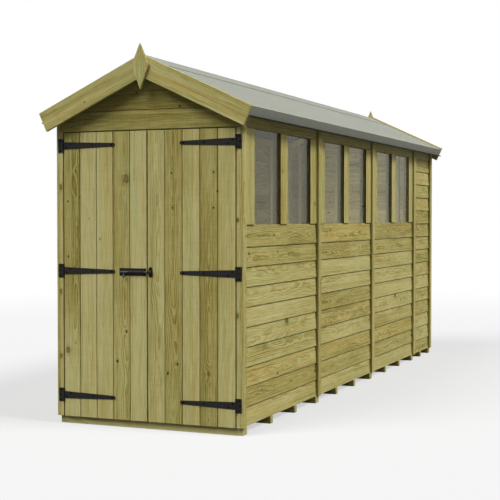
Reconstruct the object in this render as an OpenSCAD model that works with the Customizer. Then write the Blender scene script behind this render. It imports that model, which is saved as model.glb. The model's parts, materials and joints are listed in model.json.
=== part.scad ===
// Wooden garden shed with double doors in the gable and a row of windows on one long side.
// Millimetres. The origin is on the ground at the middle of the shed.
// The door gable faces -Y and the windows face +X.

/* [Walls] */
// Width over the corner strips
wall_w = 1174; // [1100:1:1500]
// Length of a window panel, between the middles of two joint strips
panel_l = 1220; // [1150:1:1300]
// Extra length of the first panel, behind the door gable
first_extra = 12; // [0:1:40]
// Length of the short last panel
last_panel_l = 546; // [450:1:640]
// Depth of the framing timber, across the wall
frame_d = 33; // [28:1:38]
// Width of a framing timber, along the wall
frame_w = 28; // [22:1:38]
// Width of a door post
post_w = 25; // [20:1:40]
// Depth of the door head above the doors
head_h = 45; // [30:1:60]

/* [Cladding] */
// Depth of the overlap cladding, from its lower edges to the frame
clad_d = 16; // [13:1:20]
// Thickness of one cladding board
clad_t = 8; // [6:0.5:10]
// Height that one cladding board shows
clad_pitch = 110.5; // [100:0.5:118]
// Height that the lowest cladding board shows
clad_first = 105; // [90:1:120]
// Lap of a cladding board under the next one
clad_lap = 12; // [8:1:18]
// Thickness of the corner strips and joint strips
strip_t = 16; // [12:1:22]
// Width of a front corner strip
front_strip_w = 44; // [35:1:60]
// Width of a back corner strip
back_strip_w = 56; // [50:1:70]
// Width of a joint strip
joint_strip_w = 56; // [45:1:70]
// Thickness of the flat boards of the door gable and the doors
face_t = 12; // [10:1:16]
// Height that one gable board shows
gable_board_h = 111; // [90:1:130]

/* [Windows] */
// Number of cladding boards below a window
sill_boards = 10; // [9:1:11]
// Width of the board between two openings
mullion_w = 115; // [90:1:130]
// Width of the board between an opening and the end of its panel
stile_w = 142; // [120:1:160]
// Height of the window openings' tops above the underside of the door head
lintel_up = 4; // [0:1:20]
// Thickness of a pane
glass_t = 3; // [2:0.5:5]
// Distance from the face of the window boards to the pane
glass_in = 12; // [8:1:13]

/* [Floor] */
// Height of a bearer
bearer_h = 44; // [38:1:60]
// Width of a bearer under a floor joint
joint_bearer_w = 58; // [45:1:70]
// Width of a bearer between two floor joints
bearer_w = 38; // [28:1:44]
// Distance from the wall faces to the ends of the floor
floor_in = 21; // [16:1:26]
// Distance from the corner strips to the ends of the bearers
bearer_in = 12; // [4:1:20]
// Length of the short last floor section, between the middles of its bearers
floor_last_l = 588; // [500:1:650]
// Thickness of the floor deck
deck_t = 12; // [10:1:18]

/* [Roof] */
// Pitch of the roof, in degrees
roof_pitch = 25; // [20:0.5:30]
// Distance from the corner strips out to the felt at the eaves
eaves_out = 70; // [60:1:90]
// Distance that the bargeboards reach past the felt at the eaves
barge_past = 6; // [2:1:15]
// Height of the bargeboards' low ends above the doors
barge_up = 5.8; // [5:0.1:20]
// Width of a bargeboard
barge_w = 116; // [100:1:130]
// Thickness of a bargeboard
barge_t = 18; // [15:1:25]
// Distance from a gable's face to the outer face of its bargeboards
barge_out = 69; // [55:1:90]
// Depth of the felt that is turned down over the eaves
eaves_drop = 60; // [45:1:70]
// Thickness of the eaves batten
eaves_batten_t = 18; // [15:1:25]
// Thickness of the roof boards
roof_board_t = 12; // [9:1:15]
// Thickness of the felt
felt_t = 3; // [2:0.5:4]
// Distance that the bargeboards stand above the felt
felt_in = 2; // [2:0.5:5]
// Half the width of the felt strip over the ridge
ridge_half = 150; // [100:1:200]
// Depth of a rafter
rafter_h = 45; // [35:1:60]
// Height of a finial
finial_h = 254; // [220:1:290]
// Width of a finial
finial_w = 102; // [80:1:120]
// Distance from a finial's top to its widest place
finial_top = 118; // [100:1:130]
// Thickness of a finial
finial_t = 16; // [12:1:22]
// Height of a finial's top above the point of the bargeboards
finial_up = 57; // [40:1:75]

/* [Doors] */
// Height of a door
door_h = 1639; // [1500:1:1750]
// Number of boards in a door
door_boards = 5; // [4:1:6]
// Gap around a door
door_gap = 5; // [5:0.5:8]
// Width of a V groove between two boards
groove_w = 5; // [3:0.5:7]
// Height of a door ledge
ledge_h = 95; // [70:1:110]
// Thickness of a door's ledges and braces
ledge_t = 20; // [15:1:22]
// Width of a door brace
brace_w = 70; // [50:1:90]
// Height of the lowest hinge above the foot of the door
hinge_low = 123; // [100:1:160]
// Distance from the highest hinge to the top of the door
hinge_down = 74; // [60:1:140]
// Furthest that a door opens, in degrees
door_open = 175; // [90:1:175]

/* [Hinges] */
// Distance from the tip of a hinge strap to the meeting edge of the door
strap_short = 202; // [185:1:300]
// Height of a hinge strap at the edge of the door
strap_root = 41; // [34:1:48]
// Height of a hinge strap at its tip
strap_tip = 21; // [16:1:26]
// Height of a hinge plate
plate_h = 79; // [65:1:90]
// Distance from the hinge pin to the outer edge of the hinge plate
plate_w = 33; // [28:1:34]
// Thickness of the hinge iron
iron_t = 3; // [2:0.5:3.5]
// Diameter of a hinge knuckle
knuckle_d = 9; // [8.5:0.1:10]
// Diameter of a hinge pin
hinge_pin_d = 4; // [3:0.1:4.5]

/* [Bolt] */
// Length of the bolt's plate
bolt_plate_l = 169; // [155:1:180]
// Height of the bolt's plate
bolt_plate_h = 42; // [34:1:46]
// Distance from the meeting line of the doors to the bolt's plate
bolt_plate_in = 7; // [6:1:10]
// Thickness of the bolt's plate and of the keeper's plate
bolt_plate_t = 2.5; // [2:0.5:3]
// Diameter of the sliding bar
bar_d = 11; // [9:0.5:12]
// Length of the sliding bar
bar_l = 168; // [150:1:170]
// Distance that the bar's tip stands past the meeting line at rest
bar_past = 3; // [1:0.5:4]
// Distance from the left end of the bar to its knob
knob_in = 24; // [20:1:28]
// Diameter of the knob
knob_d = 14; // [11:0.5:16]
// Distance from the bar to the middle of the knob
knob_drop = 28; // [24:1:32]
// Distance from the meeting end of the bolt's plate to the guide around the bar
guide_in = 8; // [4:1:20]
// Distance that the bar travels to its thrown place
bolt_throw = 22; // [18:1:24]
// Distance from the meeting line to the keeper
keeper_in = 9; // [9:0.5:12]
// Width of the keeper
keeper_w = 24; // [18:1:28]
// Height of the keeper
keeper_h = 59; // [50:1:70]

/* [Hidden] */
$fn = 64;
// Clearance between two pieces that are nailed together
fit = 0.3;
// Clearance of a sliding or turning fit, on the radius
run_fit = 0.1;
// Room around the bar in the keeper, on the radius
keeper_room = 1;
// Iron around the bore of a guide or of the keeper
guide_wall = 2.8;
// Gap between the bar and the plate under it
bar_off = 1;
// Gap between the thrown knob and the guide
knob_room = 2.5;

half_w = wall_w / 2;
tip_x = half_w - strip_t;
frame_x = tip_x - clad_d;
inner_x = frame_x - frame_d;
foot_z = bearer_h;
deck_z = foot_z + deck_t;
front_d = face_t + frame_d;
back_d = clad_d + frame_d;

// Distances of the panel ends behind the door face
joints = [for (k = [1:3]) front_d + first_extra + k * panel_l];
panel_ends = concat([front_d], joints, [joints[2] + last_panel_l]);
wall_l = panel_ends[4] + back_d;
half_l = wall_l / 2;

// Heights of the cladding boards' lower edges above the foot of the wall
function board_z(k) = k == 0 ? 0 : clad_first + (k - 1) * clad_pitch;
sill_z = foot_z + board_z(sill_boards - 1) + clad_pitch + clad_lap;

door_top_z = foot_z + door_h;
head_z = door_top_z + door_gap;
lintel_z = head_z + lintel_up;
pane_w = (panel_l - 2 * stile_w - mullion_w) / 2;

eaves_half = half_w + eaves_out;
barge_half = eaves_half + barge_past;
apex_h = door_h + barge_up + barge_w * cos(roof_pitch) + barge_half * tan(roof_pitch);
apex_z = foot_z + apex_h;

// Distances below the top edge of the bargeboards, square to the roof
felt_top = -felt_in;
felt_low = felt_top - felt_t;
board_low = felt_low - roof_board_t;
function at_slope(x, t) = apex_z - x * tan(roof_pitch) + t / cos(roof_pitch);
function under_roof(x) = at_slope(abs(x), board_low - fit);
function under_rafter(x) = at_slope(abs(x), board_low - frame_w - 2 * fit);
slope_l = barge_half / cos(roof_pitch);
eaves_s = eaves_half / cos(roof_pitch) - felt_t;
// Start of a layer at the ridge, where it is cut plumb
function ridge_s(t) = -t * tan(roof_pitch) + fit;

opening_half = tip_x - post_w;
leaf_w = opening_half - 1.5 * door_gap;
leaf_in = door_gap / 2;
pin_x = opening_half - door_gap / 2;
pin_y = -knuckle_d / 2 - fit;
strap_l = leaf_w - strap_short;
low_hinge_z = foot_z + hinge_low;
high_hinge_z = door_top_z - hinge_down;
bar_z = (low_hinge_z + high_hinge_z) / 2;
hinge_zs = [low_hinge_z, bar_z, high_hinge_z];
bar_y = -bolt_plate_t - bar_off - bar_d / 2;

wood = [0.66, 0.62, 0.38];
wood_frame = [0.62, 0.57, 0.36];
felt = [0.67, 0.68, 0.63];
iron = [0.14, 0.14, 0.13];
glass = [0.72, 0.76, 0.78, 0.5];

// Draws a flat shape standing in X and Z, from one distance behind the door face to another
module along_y(from, to) {
  translate([0, to - half_l, 0])
    rotate([90, 0, 0])
      linear_extrude(to - from)
        children();
}

// A box between two corners, with Y counted from the door face
module block(low, high) {
  translate([low[0], low[1] - half_l, low[2]])
    cube(high - low);
}

module on_left() {
  mirror([1, 0, 0])
    children();
}

// Puts a flat shape, drawn down and across the right slope, on the roof
module on_slope(from, to) {
  along_y(from, to)
    translate([0, apex_z])
      rotate(-roof_pitch)
        children();
}

// A layer of the roof between two distances below the bargeboards' top edge
module slope_layer(top, low, end) {
  polygon([[ridge_s(top), top], [end, top], [end, low], [ridge_s(low), low]]);
}

// The room under the roof boards, as a flat shape between two places across the shed
module below_roof(x0, x1, low) {
  polygon([[x0, low], [x1, low], [x1, under_roof(x1)], [x0, under_roof(x0)]]);
}

// The end of a run of overlap cladding boards: X is the depth in from the lower edges
function clad_lean(z, n) = (clad_d - clad_t) * z / (n == 0 ? clad_first + clad_lap : clad_pitch + clad_lap);
function clad_outside(n) = [for (k = [0:n - 1]) each [
  [0, board_z(k)], [clad_lean(board_z(k + 1) - board_z(k), k), board_z(k + 1)]]];
function clad_inside(n) = [for (k = [n - 1:-1:0]) each [
  [clad_d, board_z(k + 1) + clad_lap],
  [clad_t + (k == 0 ? 0 : clad_lean(clad_lap, k)), board_z(k) + (k == 0 ? 0 : clad_lap)]]];
module clad_profile(n) {
  polygon(concat(
    [for (p = clad_outside(n)) p],
    [[clad_d - clad_t, board_z(n) + clad_lap]],
    clad_inside(n)));
}
full_boards = ceil((apex_h - clad_first) / clad_pitch) + 1;
side_boards = ceil((under_roof(tip_x) - foot_z - clad_first) / clad_pitch) + 1;

module side_cladding(i, n) {
  color(wood)
    along_y(panel_ends[i] + fit, panel_ends[i + 1] - fit)
      intersection() {
        translate([tip_x, foot_z])
          mirror([1, 0])
            clad_profile(n);
        below_roof(frame_x, tip_x, foot_z);
      }
}

// Framing timbers of a side wall, with Y counted from the door face
module stud(y, z0, z1) {
  block([inner_x, y, z0 + fit], [frame_x, y + frame_w, z1 - fit]);
}

module rail(y0, y1, z0) {
  block([inner_x, y0 + fit, z0], [frame_x, y1 - fit, z0 + frame_w]);
}

top_rail_z = under_roof(frame_x) - frame_w;
module top_rail(y0, y1) {
  along_y(y0 + fit, y1 - fit)
    polygon([[inner_x, top_rail_z], [frame_x, top_rail_z], [frame_x, under_roof(frame_x)],
      [inner_x, under_roof(inner_x)]]);
}

module plain_panel_frame(i, inner_studs) {
  y0 = panel_ends[i];
  y1 = panel_ends[i + 1];
  step = (y1 - y0 - 2 * fit - frame_w) / (inner_studs + 1);
  rail(y0, y1, deck_z);
  top_rail(y0, y1);
  for (k = [0:inner_studs + 1])
    stud(y0 + fit + k * step, deck_z + frame_w, top_rail_z);
}

// Starts of the two window openings in a panel, counted back from the panel's far end
function pane_2_y(i) = panel_ends[i + 1] - stile_w - pane_w;
function pane_1_y(i) = pane_2_y(i) - mullion_w - pane_w;

module window_panel_frame(i) {
  y0 = panel_ends[i];
  y1 = panel_ends[i + 1];
  rail(y0, y1, deck_z);
  top_rail(y0, y1);
  stud(y0 + fit, deck_z + frame_w, top_rail_z);
  stud(y1 - fit - frame_w, deck_z + frame_w, top_rail_z);
  for (y = [pane_1_y(i), pane_2_y(i)]) {
    stud(y - frame_w, deck_z + frame_w, top_rail_z);
    stud(y + pane_w, deck_z + frame_w, top_rail_z);
    rail(y, y + pane_w, sill_z - frame_w);
    rail(y, y + pane_w, lintel_z);
  }
}

module window_surround(i) {
  x0 = frame_x;
  y0 = panel_ends[i] + fit;
  y1 = panel_ends[i + 1] - fit;
  p1 = pane_1_y(i);
  p2 = pane_2_y(i);
  color(wood) {
    along_y(y0, y1)
      below_roof(x0, tip_x, lintel_z);
    for (span = [[y0, p1], [p1 + pane_w, p2], [p2 + pane_w, y1]])
      block([x0, span[0], sill_z + fit], [tip_x, span[1], lintel_z - fit]);
  }
}

module window_panes(i) {
  x1 = tip_x - glass_in;
  color(glass)
    for (y = [pane_1_y(i), pane_2_y(i)])
      block([x1 - glass_t, y + fit, sill_z + fit], [x1, y + pane_w - fit, lintel_z - fit]);
}

module cover_strip(y0, y1) {
  along_y(y0, y1)
    below_roof(tip_x, half_w, foot_z);
}

module cover_strips() {
  color(wood) {
    cover_strip(0, front_strip_w);
    for (j = joints)
      cover_strip(j - joint_strip_w / 2, j + joint_strip_w / 2);
    cover_strip(wall_l - back_strip_w, wall_l);
  }
}

// Gable framing, standing from one distance behind the door face to another
module gable_rafters(y0, y1) {
  for (side = [0, 1])
    mirror([side, 0, 0])
      on_slope(y0, y1)
        intersection() {
          slope_layer(board_low - fit, board_low - fit - frame_w, slope_l);
          rotate(roof_pitch)
            translate([0, -apex_h])
              square([tip_x, apex_h * 2]);
        }
}

module gable_post(x0, x1, y0, y1, low) {
  along_y(y0, y1)
    polygon([[x0, low], [x1, low], [x1, under_rafter(x1)], [x0, under_rafter(x0)]]);
}

module king_post(y0, y1, low) {
  along_y(y0, y1)
    polygon([[-frame_w / 2, low], [frame_w / 2, low], [frame_w / 2, under_rafter(frame_w / 2)],
      [0, under_rafter(0)], [-frame_w / 2, under_rafter(frame_w / 2)]]);
}

module front_frame() {
  y0 = face_t;
  color(wood_frame) {
    for (side = [0, 1])
      mirror([side, 0, 0])
        gable_post(opening_half, tip_x, y0, front_d, deck_z);
    block([-opening_half + fit, y0, head_z], [opening_half - fit, front_d, head_z + head_h]);
    king_post(y0, front_d, head_z + head_h + fit);
    gable_rafters(y0, front_d);
  }
}

module front_face_boards() {
  color(wood)
    for (side = [0, 1])
      mirror([side, 0, 0])
        block([opening_half, 0, foot_z], [tip_x, face_t, head_z - fit]);
}

module front_gable_boards() {
  color(wood)
    difference() {
      along_y(0, face_t)
        polygon([[-tip_x, head_z], [tip_x, head_z], [tip_x, under_roof(tip_x)],
          [0, under_roof(0)], [-tip_x, under_roof(tip_x)]]);
      for (z = [head_z + gable_board_h:gable_board_h:under_roof(0) - groove_w])
        translate([-half_w, -half_l, z])
          rotate([45, 0, 0])
            cube([wall_w, groove_w / sqrt(2), groove_w / sqrt(2)], center = false);
    }
}

module back_frame() {
  y0 = wall_l - back_d;
  y1 = wall_l - clad_d;
  tie_z = under_rafter(tip_x - frame_w) - fit - frame_w;
  post_x = tip_x - frame_w;
  stud_x = tip_x / 2;
  color(wood_frame) {
    for (side = [0, 1])
      mirror([side, 0, 0]) {
        gable_post(post_x, tip_x, y0, y1, deck_z);
        block([stud_x - frame_w / 2, y0, deck_z + frame_w + fit], [stud_x + frame_w / 2, y1, tie_z - fit]);
      }
    block([-post_x + fit, y0, deck_z], [post_x - fit, y1, deck_z + frame_w]);
    block([-frame_w / 2, y0, deck_z + frame_w + fit], [frame_w / 2, y1, tie_z - fit]);
    block([-post_x + fit, y0, tie_z], [post_x - fit, y1, tie_z + frame_w]);
    king_post(y0, y1, tie_z + frame_w + fit);
    gable_rafters(y0, y1);
  }
}

module back_cladding() {
  color(wood)
    intersection() {
      translate([-tip_x, half_l, foot_z])
        rotate([90, 0, 90])
          linear_extrude(2 * tip_x)
            mirror([1, 0])
              clad_profile(full_boards);
      along_y(wall_l - clad_d - 1, wall_l + 1)
        polygon([[-tip_x, foot_z], [tip_x, foot_z], [tip_x, under_roof(tip_x)],
          [0, under_roof(0)], [-tip_x, under_roof(tip_x)]]);
    }
}

module right_frame() {
  color(wood_frame) {
    for (i = [0:2])
      window_panel_frame(i);
    plain_panel_frame(3, 1);
  }
}

module left_frame() {
  color(wood_frame)
    on_left() {
      for (i = [0:2])
        plain_panel_frame(i, 2);
      plain_panel_frame(3, 1);
    }
}

// Middles of the bearers behind the door face: the floor joints and two places between them
floor_l = wall_l - 2 * floor_in;
section_start = floor_in + joint_bearer_w / 2;
last_bearer = wall_l - section_start;
section_l = (last_bearer - floor_last_l - section_start) / 3;
section_joints = [for (k = [0:3]) section_start + k * section_l];
thirds = [for (k = [0:2], part = [1, 2]) section_joints[k] + part * section_l / 3];

module bearer(y, width) {
  block([-half_w + bearer_in, y - width / 2, 0], [half_w - bearer_in, y + width / 2, bearer_h]);
}

module floor_bearers() {
  color(wood_frame) {
    for (y = concat(section_joints, [last_bearer]))
      bearer(y, joint_bearer_w);
    for (y = concat(thirds, [(section_joints[3] + last_bearer) / 2]))
      bearer(y, bearer_w);
  }
}

module floor_deck() {
  color(wood)
    block([-frame_x, floor_in, foot_z], [frame_x, floor_in + floor_l, deck_z]);
}

// A truss over each panel joint: two rafters and a gusset at the ridge
module roof_trusses() {
  color(wood_frame)
    for (j = joints) {
      for (side = [0, 1])
        mirror([side, 0, 0])
          on_slope(j - frame_w / 2, j + frame_w / 2)
            intersection() {
              slope_layer(board_low - fit, board_low - fit - rafter_h, slope_l);
              rotate(roof_pitch)
                translate([0, -apex_h])
                  square([inner_x - fit, apex_h * 2]);
            }
      gusset_x = 3 * rafter_h;
      along_y(j + frame_w / 2 + fit, j + frame_w / 2 + fit + face_t)
        polygon([[-gusset_x, under_roof(gusset_x)], [0, under_roof(0)],
          [gusset_x, under_roof(gusset_x)]]);
    }
}

roof_y0 = barge_t - barge_out;
roof_y1 = wall_l - roof_y0;

module roof_boards() {
  color(wood_frame)
    on_slope(roof_y0, roof_y1)
      slope_layer(felt_low, board_low, eaves_s);
}

module eaves_battens() {
  color(wood_frame)
    for (side = [0, 1])
      mirror([side, 0, 0])
        on_slope(roof_y0, roof_y1)
          translate([eaves_s - eaves_batten_t, -eaves_drop])
            square([eaves_batten_t - fit, eaves_drop + board_low - fit]);
}

module roof_felt() {
  color(felt)
    on_slope(roof_y0, roof_y1)
      polygon([[ridge_s(felt_top), felt_top], [eaves_s + felt_t, felt_top],
        [eaves_s + felt_t, -eaves_drop], [eaves_s + fit, -eaves_drop], [eaves_s + fit, felt_low + fit],
        [ridge_s(felt_low), felt_low + fit]]);
}

module ridge_felt() {
  rise = felt_in - fit;
  color(felt)
    along_y(roof_y0, roof_y1)
      polygon([[0, at_slope(0, felt_top + fit)], [ridge_half, at_slope(ridge_half, felt_top + fit)],
        [ridge_half, at_slope(ridge_half, felt_top + rise)], [0, at_slope(0, felt_top + rise)],
        [-ridge_half, at_slope(ridge_half, felt_top + rise)],
        [-ridge_half, at_slope(ridge_half, felt_top + fit)]]);
}

module bargeboards(y) {
  color(wood)
    for (side = [0, 1])
      mirror([side, 0, 0])
        on_slope(y, y + barge_t)
          slope_layer(0, -barge_w, slope_l);
}

module finials() {
  top = apex_z + finial_up;
  color(wood)
    for (y = [-barge_out - finial_t, wall_l + barge_out])
      along_y(y, y + finial_t)
        polygon([[0, top], [finial_w / 2, top - finial_top], [0, top - finial_h],
          [-finial_w / 2, top - finial_top]]);
}

// Places a piece of ironwork on the door face, seen from the front, with Y counted outwards
module on_face(x, z) {
  translate([x, -half_l, z])
    children();
}

module upright(d, z0, z1) {
  translate([0, 0, z0])
    cylinder(h = z1 - z0, d = d);
}

// Half of a T hinge on the post: a plate, two knuckles and the pin
module hinge_plate() {
  strap_half = strap_root / 2 + fit;
  edge = leaf_in + fit;
  knuckle_room = knuckle_d / 2 + 1;
  difference() {
    translate([edge, -iron_t, -plate_h / 2])
      cube([plate_w - edge, iron_t, plate_h]);
    translate([0, -iron_t - 1, -strap_half])
      cube([knuckle_room, iron_t + 2, 2 * strap_half]);
  }
  translate([0, pin_y, 0]) {
    upright(knuckle_d, -plate_h / 2, -strap_half);
    upright(knuckle_d, strap_half, plate_h / 2);
    upright(hinge_pin_d, -plate_h / 2, plate_h / 2);
  }
}

module hinge_plates() {
  color(iron)
    for (side = [0, 1], z = hinge_zs)
      mirror([side, 0, 0])
        on_face(pin_x, z)
          hinge_plate();
}

// The long half of a T hinge, on the door
module hinge_strap() {
  edge = leaf_in + fit;
  tip_r = strap_tip / 2;
  tip_s = edge + strap_l - tip_r;
  root = strap_root / 2;
  difference() {
    union() {
      rotate([90, 0, 0])
        linear_extrude(iron_t) {
          polygon([[-edge, -root], [-edge, root], [-2 * knuckle_d, root],
            [-tip_s, tip_r - fit], [-tip_s, fit - tip_r], [-2 * knuckle_d, -root]]);
          translate([-tip_s, 0])
            circle(r = tip_r);
        }
      translate([0, pin_y, 0])
        upright(knuckle_d, -root, root);
    }
    translate([0, pin_y, 0])
      upright(hinge_pin_d + 2 * run_fit, -strap_root, strap_root);
  }
}

module hinge_straps() {
  color(iron)
    for (z = hinge_zs)
      on_face(pin_x, z)
        hinge_strap();
}

// A door leaf seen from above: boards with a V groove at each joint
module door_boards() {
  board_w = leaf_w / door_boards;
  grooves = [for (k = [1:door_boards - 1]) each [
    [k * board_w - groove_w / 2, 0], [k * board_w, groove_w / 2], [k * board_w + groove_w / 2, 0]]];
  color(wood)
    translate([leaf_in, -half_l, foot_z])
      linear_extrude(door_h)
        polygon(concat([[0, 0]], grooves, [[leaf_w, 0], [leaf_w, face_t], [0, face_t]]));
}

// Three ledges across the back of a leaf and a brace up from the hinge side of each lower one
module door_ledges() {
  x0 = leaf_in + frame_w;
  x1 = leaf_in + leaf_w - frame_w;
  y0 = face_t;
  y1 = face_t + ledge_t;
  color(wood_frame) {
    for (z = hinge_zs)
      block([x0, y0, z - ledge_h / 2], [x1, y1, z + ledge_h / 2]);
    for (k = [0, 1]) {
      low = hinge_zs[k] + ledge_h / 2 + fit;
      high = hinge_zs[k + 1] - ledge_h / 2 - fit;
      along_y(y0, y1)
        polygon([[x1, low], [x1 - brace_w, low], [x0, high], [x0 + brace_w, high]]);
    }
  }
}

// Round ironwork along X, around the bar
module along_bar(x0, x1) {
  translate([x0, bar_y, bar_z])
    rotate([90, 0, 90])
      linear_extrude(x1 - x0)
        children();
}

// A saddle over the bar: round outside, flat against the plate
module saddle(room) {
  r = bar_d / 2 + room + guide_wall;
  difference() {
    union() {
      circle(r = r);
      translate([0, -r])
        square([-bar_y, 2 * r]);
    }
    circle(r = bar_d / 2 + room);
    translate([-bar_y - bolt_plate_t / 2, -2 * r])
      square([bolt_plate_t, 4 * r]);
  }
}

plate_x1 = -bolt_plate_in;
plate_x0 = plate_x1 - bolt_plate_l;
bar_tip = bar_past;
bar_end = bar_tip - bar_l;
knob_x = bar_end + knob_in;
guide_x1 = plate_x1 - guide_in;
guide_x0 = knob_x + bolt_throw + knob_d / 4 + knob_room;

module bolt_plate() {
  color(iron)
    translate([0, -half_l, 0]) {
      translate([plate_x0, -bolt_plate_t, bar_z - bolt_plate_h / 2])
        cube([bolt_plate_l, bolt_plate_t, bolt_plate_h]);
      along_bar(guide_x0, guide_x1)
        saddle(run_fit);
    }
}

module bolt_bar() {
  color(iron)
    translate([0, -half_l, 0]) {
      along_bar(bar_end, bar_tip)
        circle(d = bar_d);
      translate([knob_x, bar_y, bar_z])
        rotate([-20, 0, 0]) {
          upright(knob_d / 2, -knob_drop, 0);
          translate([0, 0, -knob_drop])
            sphere(d = knob_d);
        }
    }
}

module bolt_keeper() {
  x1 = keeper_in + keeper_w;
  lug = keeper_w / 2;
  color(iron)
    translate([0, -half_l, 0]) {
      translate([keeper_in + lug, 0, bar_z])
        rotate([90, 0, 0])
          linear_extrude(bolt_plate_t) {
            square([keeper_w, keeper_h - keeper_w], center = true);
            for (z = [-1, 1])
              translate([0, z * (keeper_h - keeper_w) / 2])
                circle(r = lug);
          }
      along_bar(keeper_in, x1)
        saddle(keeper_room);
    }
}

floor_bearers();
floor_deck();
front_frame();
front_face_boards();
front_gable_boards();
back_frame();
back_cladding();
left_frame();
on_left() side_cladding(0, side_boards);  // left_cladding_1
on_left() side_cladding(1, side_boards);  // left_cladding_2
on_left() side_cladding(2, side_boards);  // left_cladding_3
on_left() side_cladding(3, side_boards);  // left_cladding_4
on_left() cover_strips();  // left_cover_strips
right_frame();
side_cladding(0, sill_boards);  // right_cladding_1
side_cladding(1, sill_boards);  // right_cladding_2
side_cladding(2, sill_boards);  // right_cladding_3
side_cladding(3, side_boards);  // right_cladding_4
cover_strips();  // right_cover_strips
window_surround(0);  // window_surround_1
window_surround(1);  // window_surround_2
window_surround(2);  // window_surround_3
window_panes(0);  // window_panes_1
window_panes(1);  // window_panes_2
window_panes(2);  // window_panes_3
roof_trusses();
on_left() roof_boards();  // roof_boards_left
roof_boards();  // roof_boards_right
eaves_battens();
on_left() roof_felt();  // roof_felt_left
roof_felt();  // roof_felt_right
ridge_felt();
bargeboards(-barge_out);  // bargeboards_front
bargeboards(wall_l + barge_out - barge_t);  // bargeboards_back
finials();
hinge_plates();
on_left() door_boards();  // door_left_boards
on_left() door_ledges();  // door_left_ledges
on_left() hinge_straps();  // door_left_straps
door_boards();  // door_right_boards
door_ledges();  // door_right_ledges
hinge_straps();  // door_right_straps
bolt_plate();
bolt_bar();
bolt_keeper();
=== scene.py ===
"""Finish for a wooden garden shed: treated boards, mineral felt, black ironwork and fixed panes.

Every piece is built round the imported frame, in metres, with +Z up and the doors facing -Y.
"""

import json
import math
import random

import bmesh
import bpy
import numpy as np
from mathutils import Matrix, Vector

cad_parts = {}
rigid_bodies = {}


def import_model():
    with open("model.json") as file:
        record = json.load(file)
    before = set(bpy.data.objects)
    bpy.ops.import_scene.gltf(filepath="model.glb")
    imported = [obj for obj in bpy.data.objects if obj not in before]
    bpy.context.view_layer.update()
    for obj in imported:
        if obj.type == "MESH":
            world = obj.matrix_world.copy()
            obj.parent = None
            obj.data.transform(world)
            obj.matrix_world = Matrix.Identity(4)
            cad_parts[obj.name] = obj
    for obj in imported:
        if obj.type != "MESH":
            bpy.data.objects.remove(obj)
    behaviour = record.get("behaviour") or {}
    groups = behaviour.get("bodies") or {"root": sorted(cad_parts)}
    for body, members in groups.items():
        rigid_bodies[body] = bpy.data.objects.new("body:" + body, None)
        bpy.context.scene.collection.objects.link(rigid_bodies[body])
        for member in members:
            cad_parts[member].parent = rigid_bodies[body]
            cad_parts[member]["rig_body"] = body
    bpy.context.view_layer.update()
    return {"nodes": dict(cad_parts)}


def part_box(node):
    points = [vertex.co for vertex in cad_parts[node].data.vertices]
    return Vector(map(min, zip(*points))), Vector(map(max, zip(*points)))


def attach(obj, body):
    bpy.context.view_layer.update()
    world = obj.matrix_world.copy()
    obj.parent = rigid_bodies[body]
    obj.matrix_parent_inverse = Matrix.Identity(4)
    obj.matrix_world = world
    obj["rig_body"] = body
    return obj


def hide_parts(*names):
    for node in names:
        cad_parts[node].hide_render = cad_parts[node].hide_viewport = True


bl_info = {
    "name": "Garden Shed Finish",
    "version": (1, 0, 0),
    "blender": (4, 5, 0),
    "location": "View3D > Sidebar > Shed",
    "description": "Builds the boards, felt, ironwork and panes of a garden shed round its frame",
    "category": "Object",
}

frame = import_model()

GABLE_LOW, GABLE_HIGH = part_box("front_gable_boards")
RIGHT = Vector((1, 0, 0))
BACK = Vector((0, 1, 0))
UP = Vector((0, 0, 1))
SIDES = (("left", -1), ("right", 1))
PANELS = (1, 2, 3, 4)
WINDOW_PANELS = PANELS[:3]


# Sizes and colours


class BoardSizes(bpy.types.PropertyGroup):
    """Sizes of the boards, nails and screws that the frame doesn't give."""

    first_shown: bpy.props.FloatProperty(
        name="Lowest board", description="Height that the lowest overlap board shows",
        default=0.105, min=0.05, max=0.2, unit="LENGTH")
    shown: bpy.props.FloatProperty(
        name="Board", description="Height that an overlap board shows",
        default=0.1105, min=0.05, max=0.2, unit="LENGTH")
    lap: bpy.props.FloatProperty(
        name="Lap", description="Height of an overlap board that the next one covers",
        default=0.012, min=0.005, max=0.03, unit="LENGTH")
    thick: bpy.props.FloatProperty(
        name="Board thickness", description="Thickness of an overlap board",
        default=0.008, min=0.004, max=0.015, unit="LENGTH")
    ease: bpy.props.FloatProperty(
        name="Eased edge", description="Width of the rounding along a sawn edge",
        default=0.0009, min=0.0002, max=0.003, unit="LENGTH")
    groove: bpy.props.FloatProperty(
        name="V groove", description="Width of the groove between two flat boards",
        default=0.005, min=0.002, max=0.01, unit="LENGTH")
    gable_shown: bpy.props.FloatProperty(
        name="Gable board", description="Height that a flat board of the door gable shows",
        default=0.111, min=0.08, max=0.15, unit="LENGTH")
    deck_board: bpy.props.FloatProperty(
        name="Floor board", description="Greatest width of a floor board",
        default=0.115, min=0.08, max=0.15, unit="LENGTH")
    nail: bpy.props.FloatProperty(
        name="Nail head", description="Diameter of a nail's head",
        default=0.0048, min=0.002, max=0.008, unit="LENGTH")
    screw: bpy.props.FloatProperty(
        name="Screw head", description="Diameter of a screw's head",
        default=0.0098, min=0.004, max=0.012, unit="LENGTH")
    # the dark strips round the panes are painted shade in the reveals
    tape: bpy.props.FloatProperty(
        name="Glazing tape", description="Thickness of the tape along a pane's edges",
        default=0.0009, min=0.0003, max=0.003, unit="LENGTH")
    pitch: bpy.props.FloatProperty(
        name="Roof pitch", description="Slope of the roof",
        default=math.radians(25), min=math.radians(15), max=math.radians(40), subtype="ANGLE")


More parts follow.
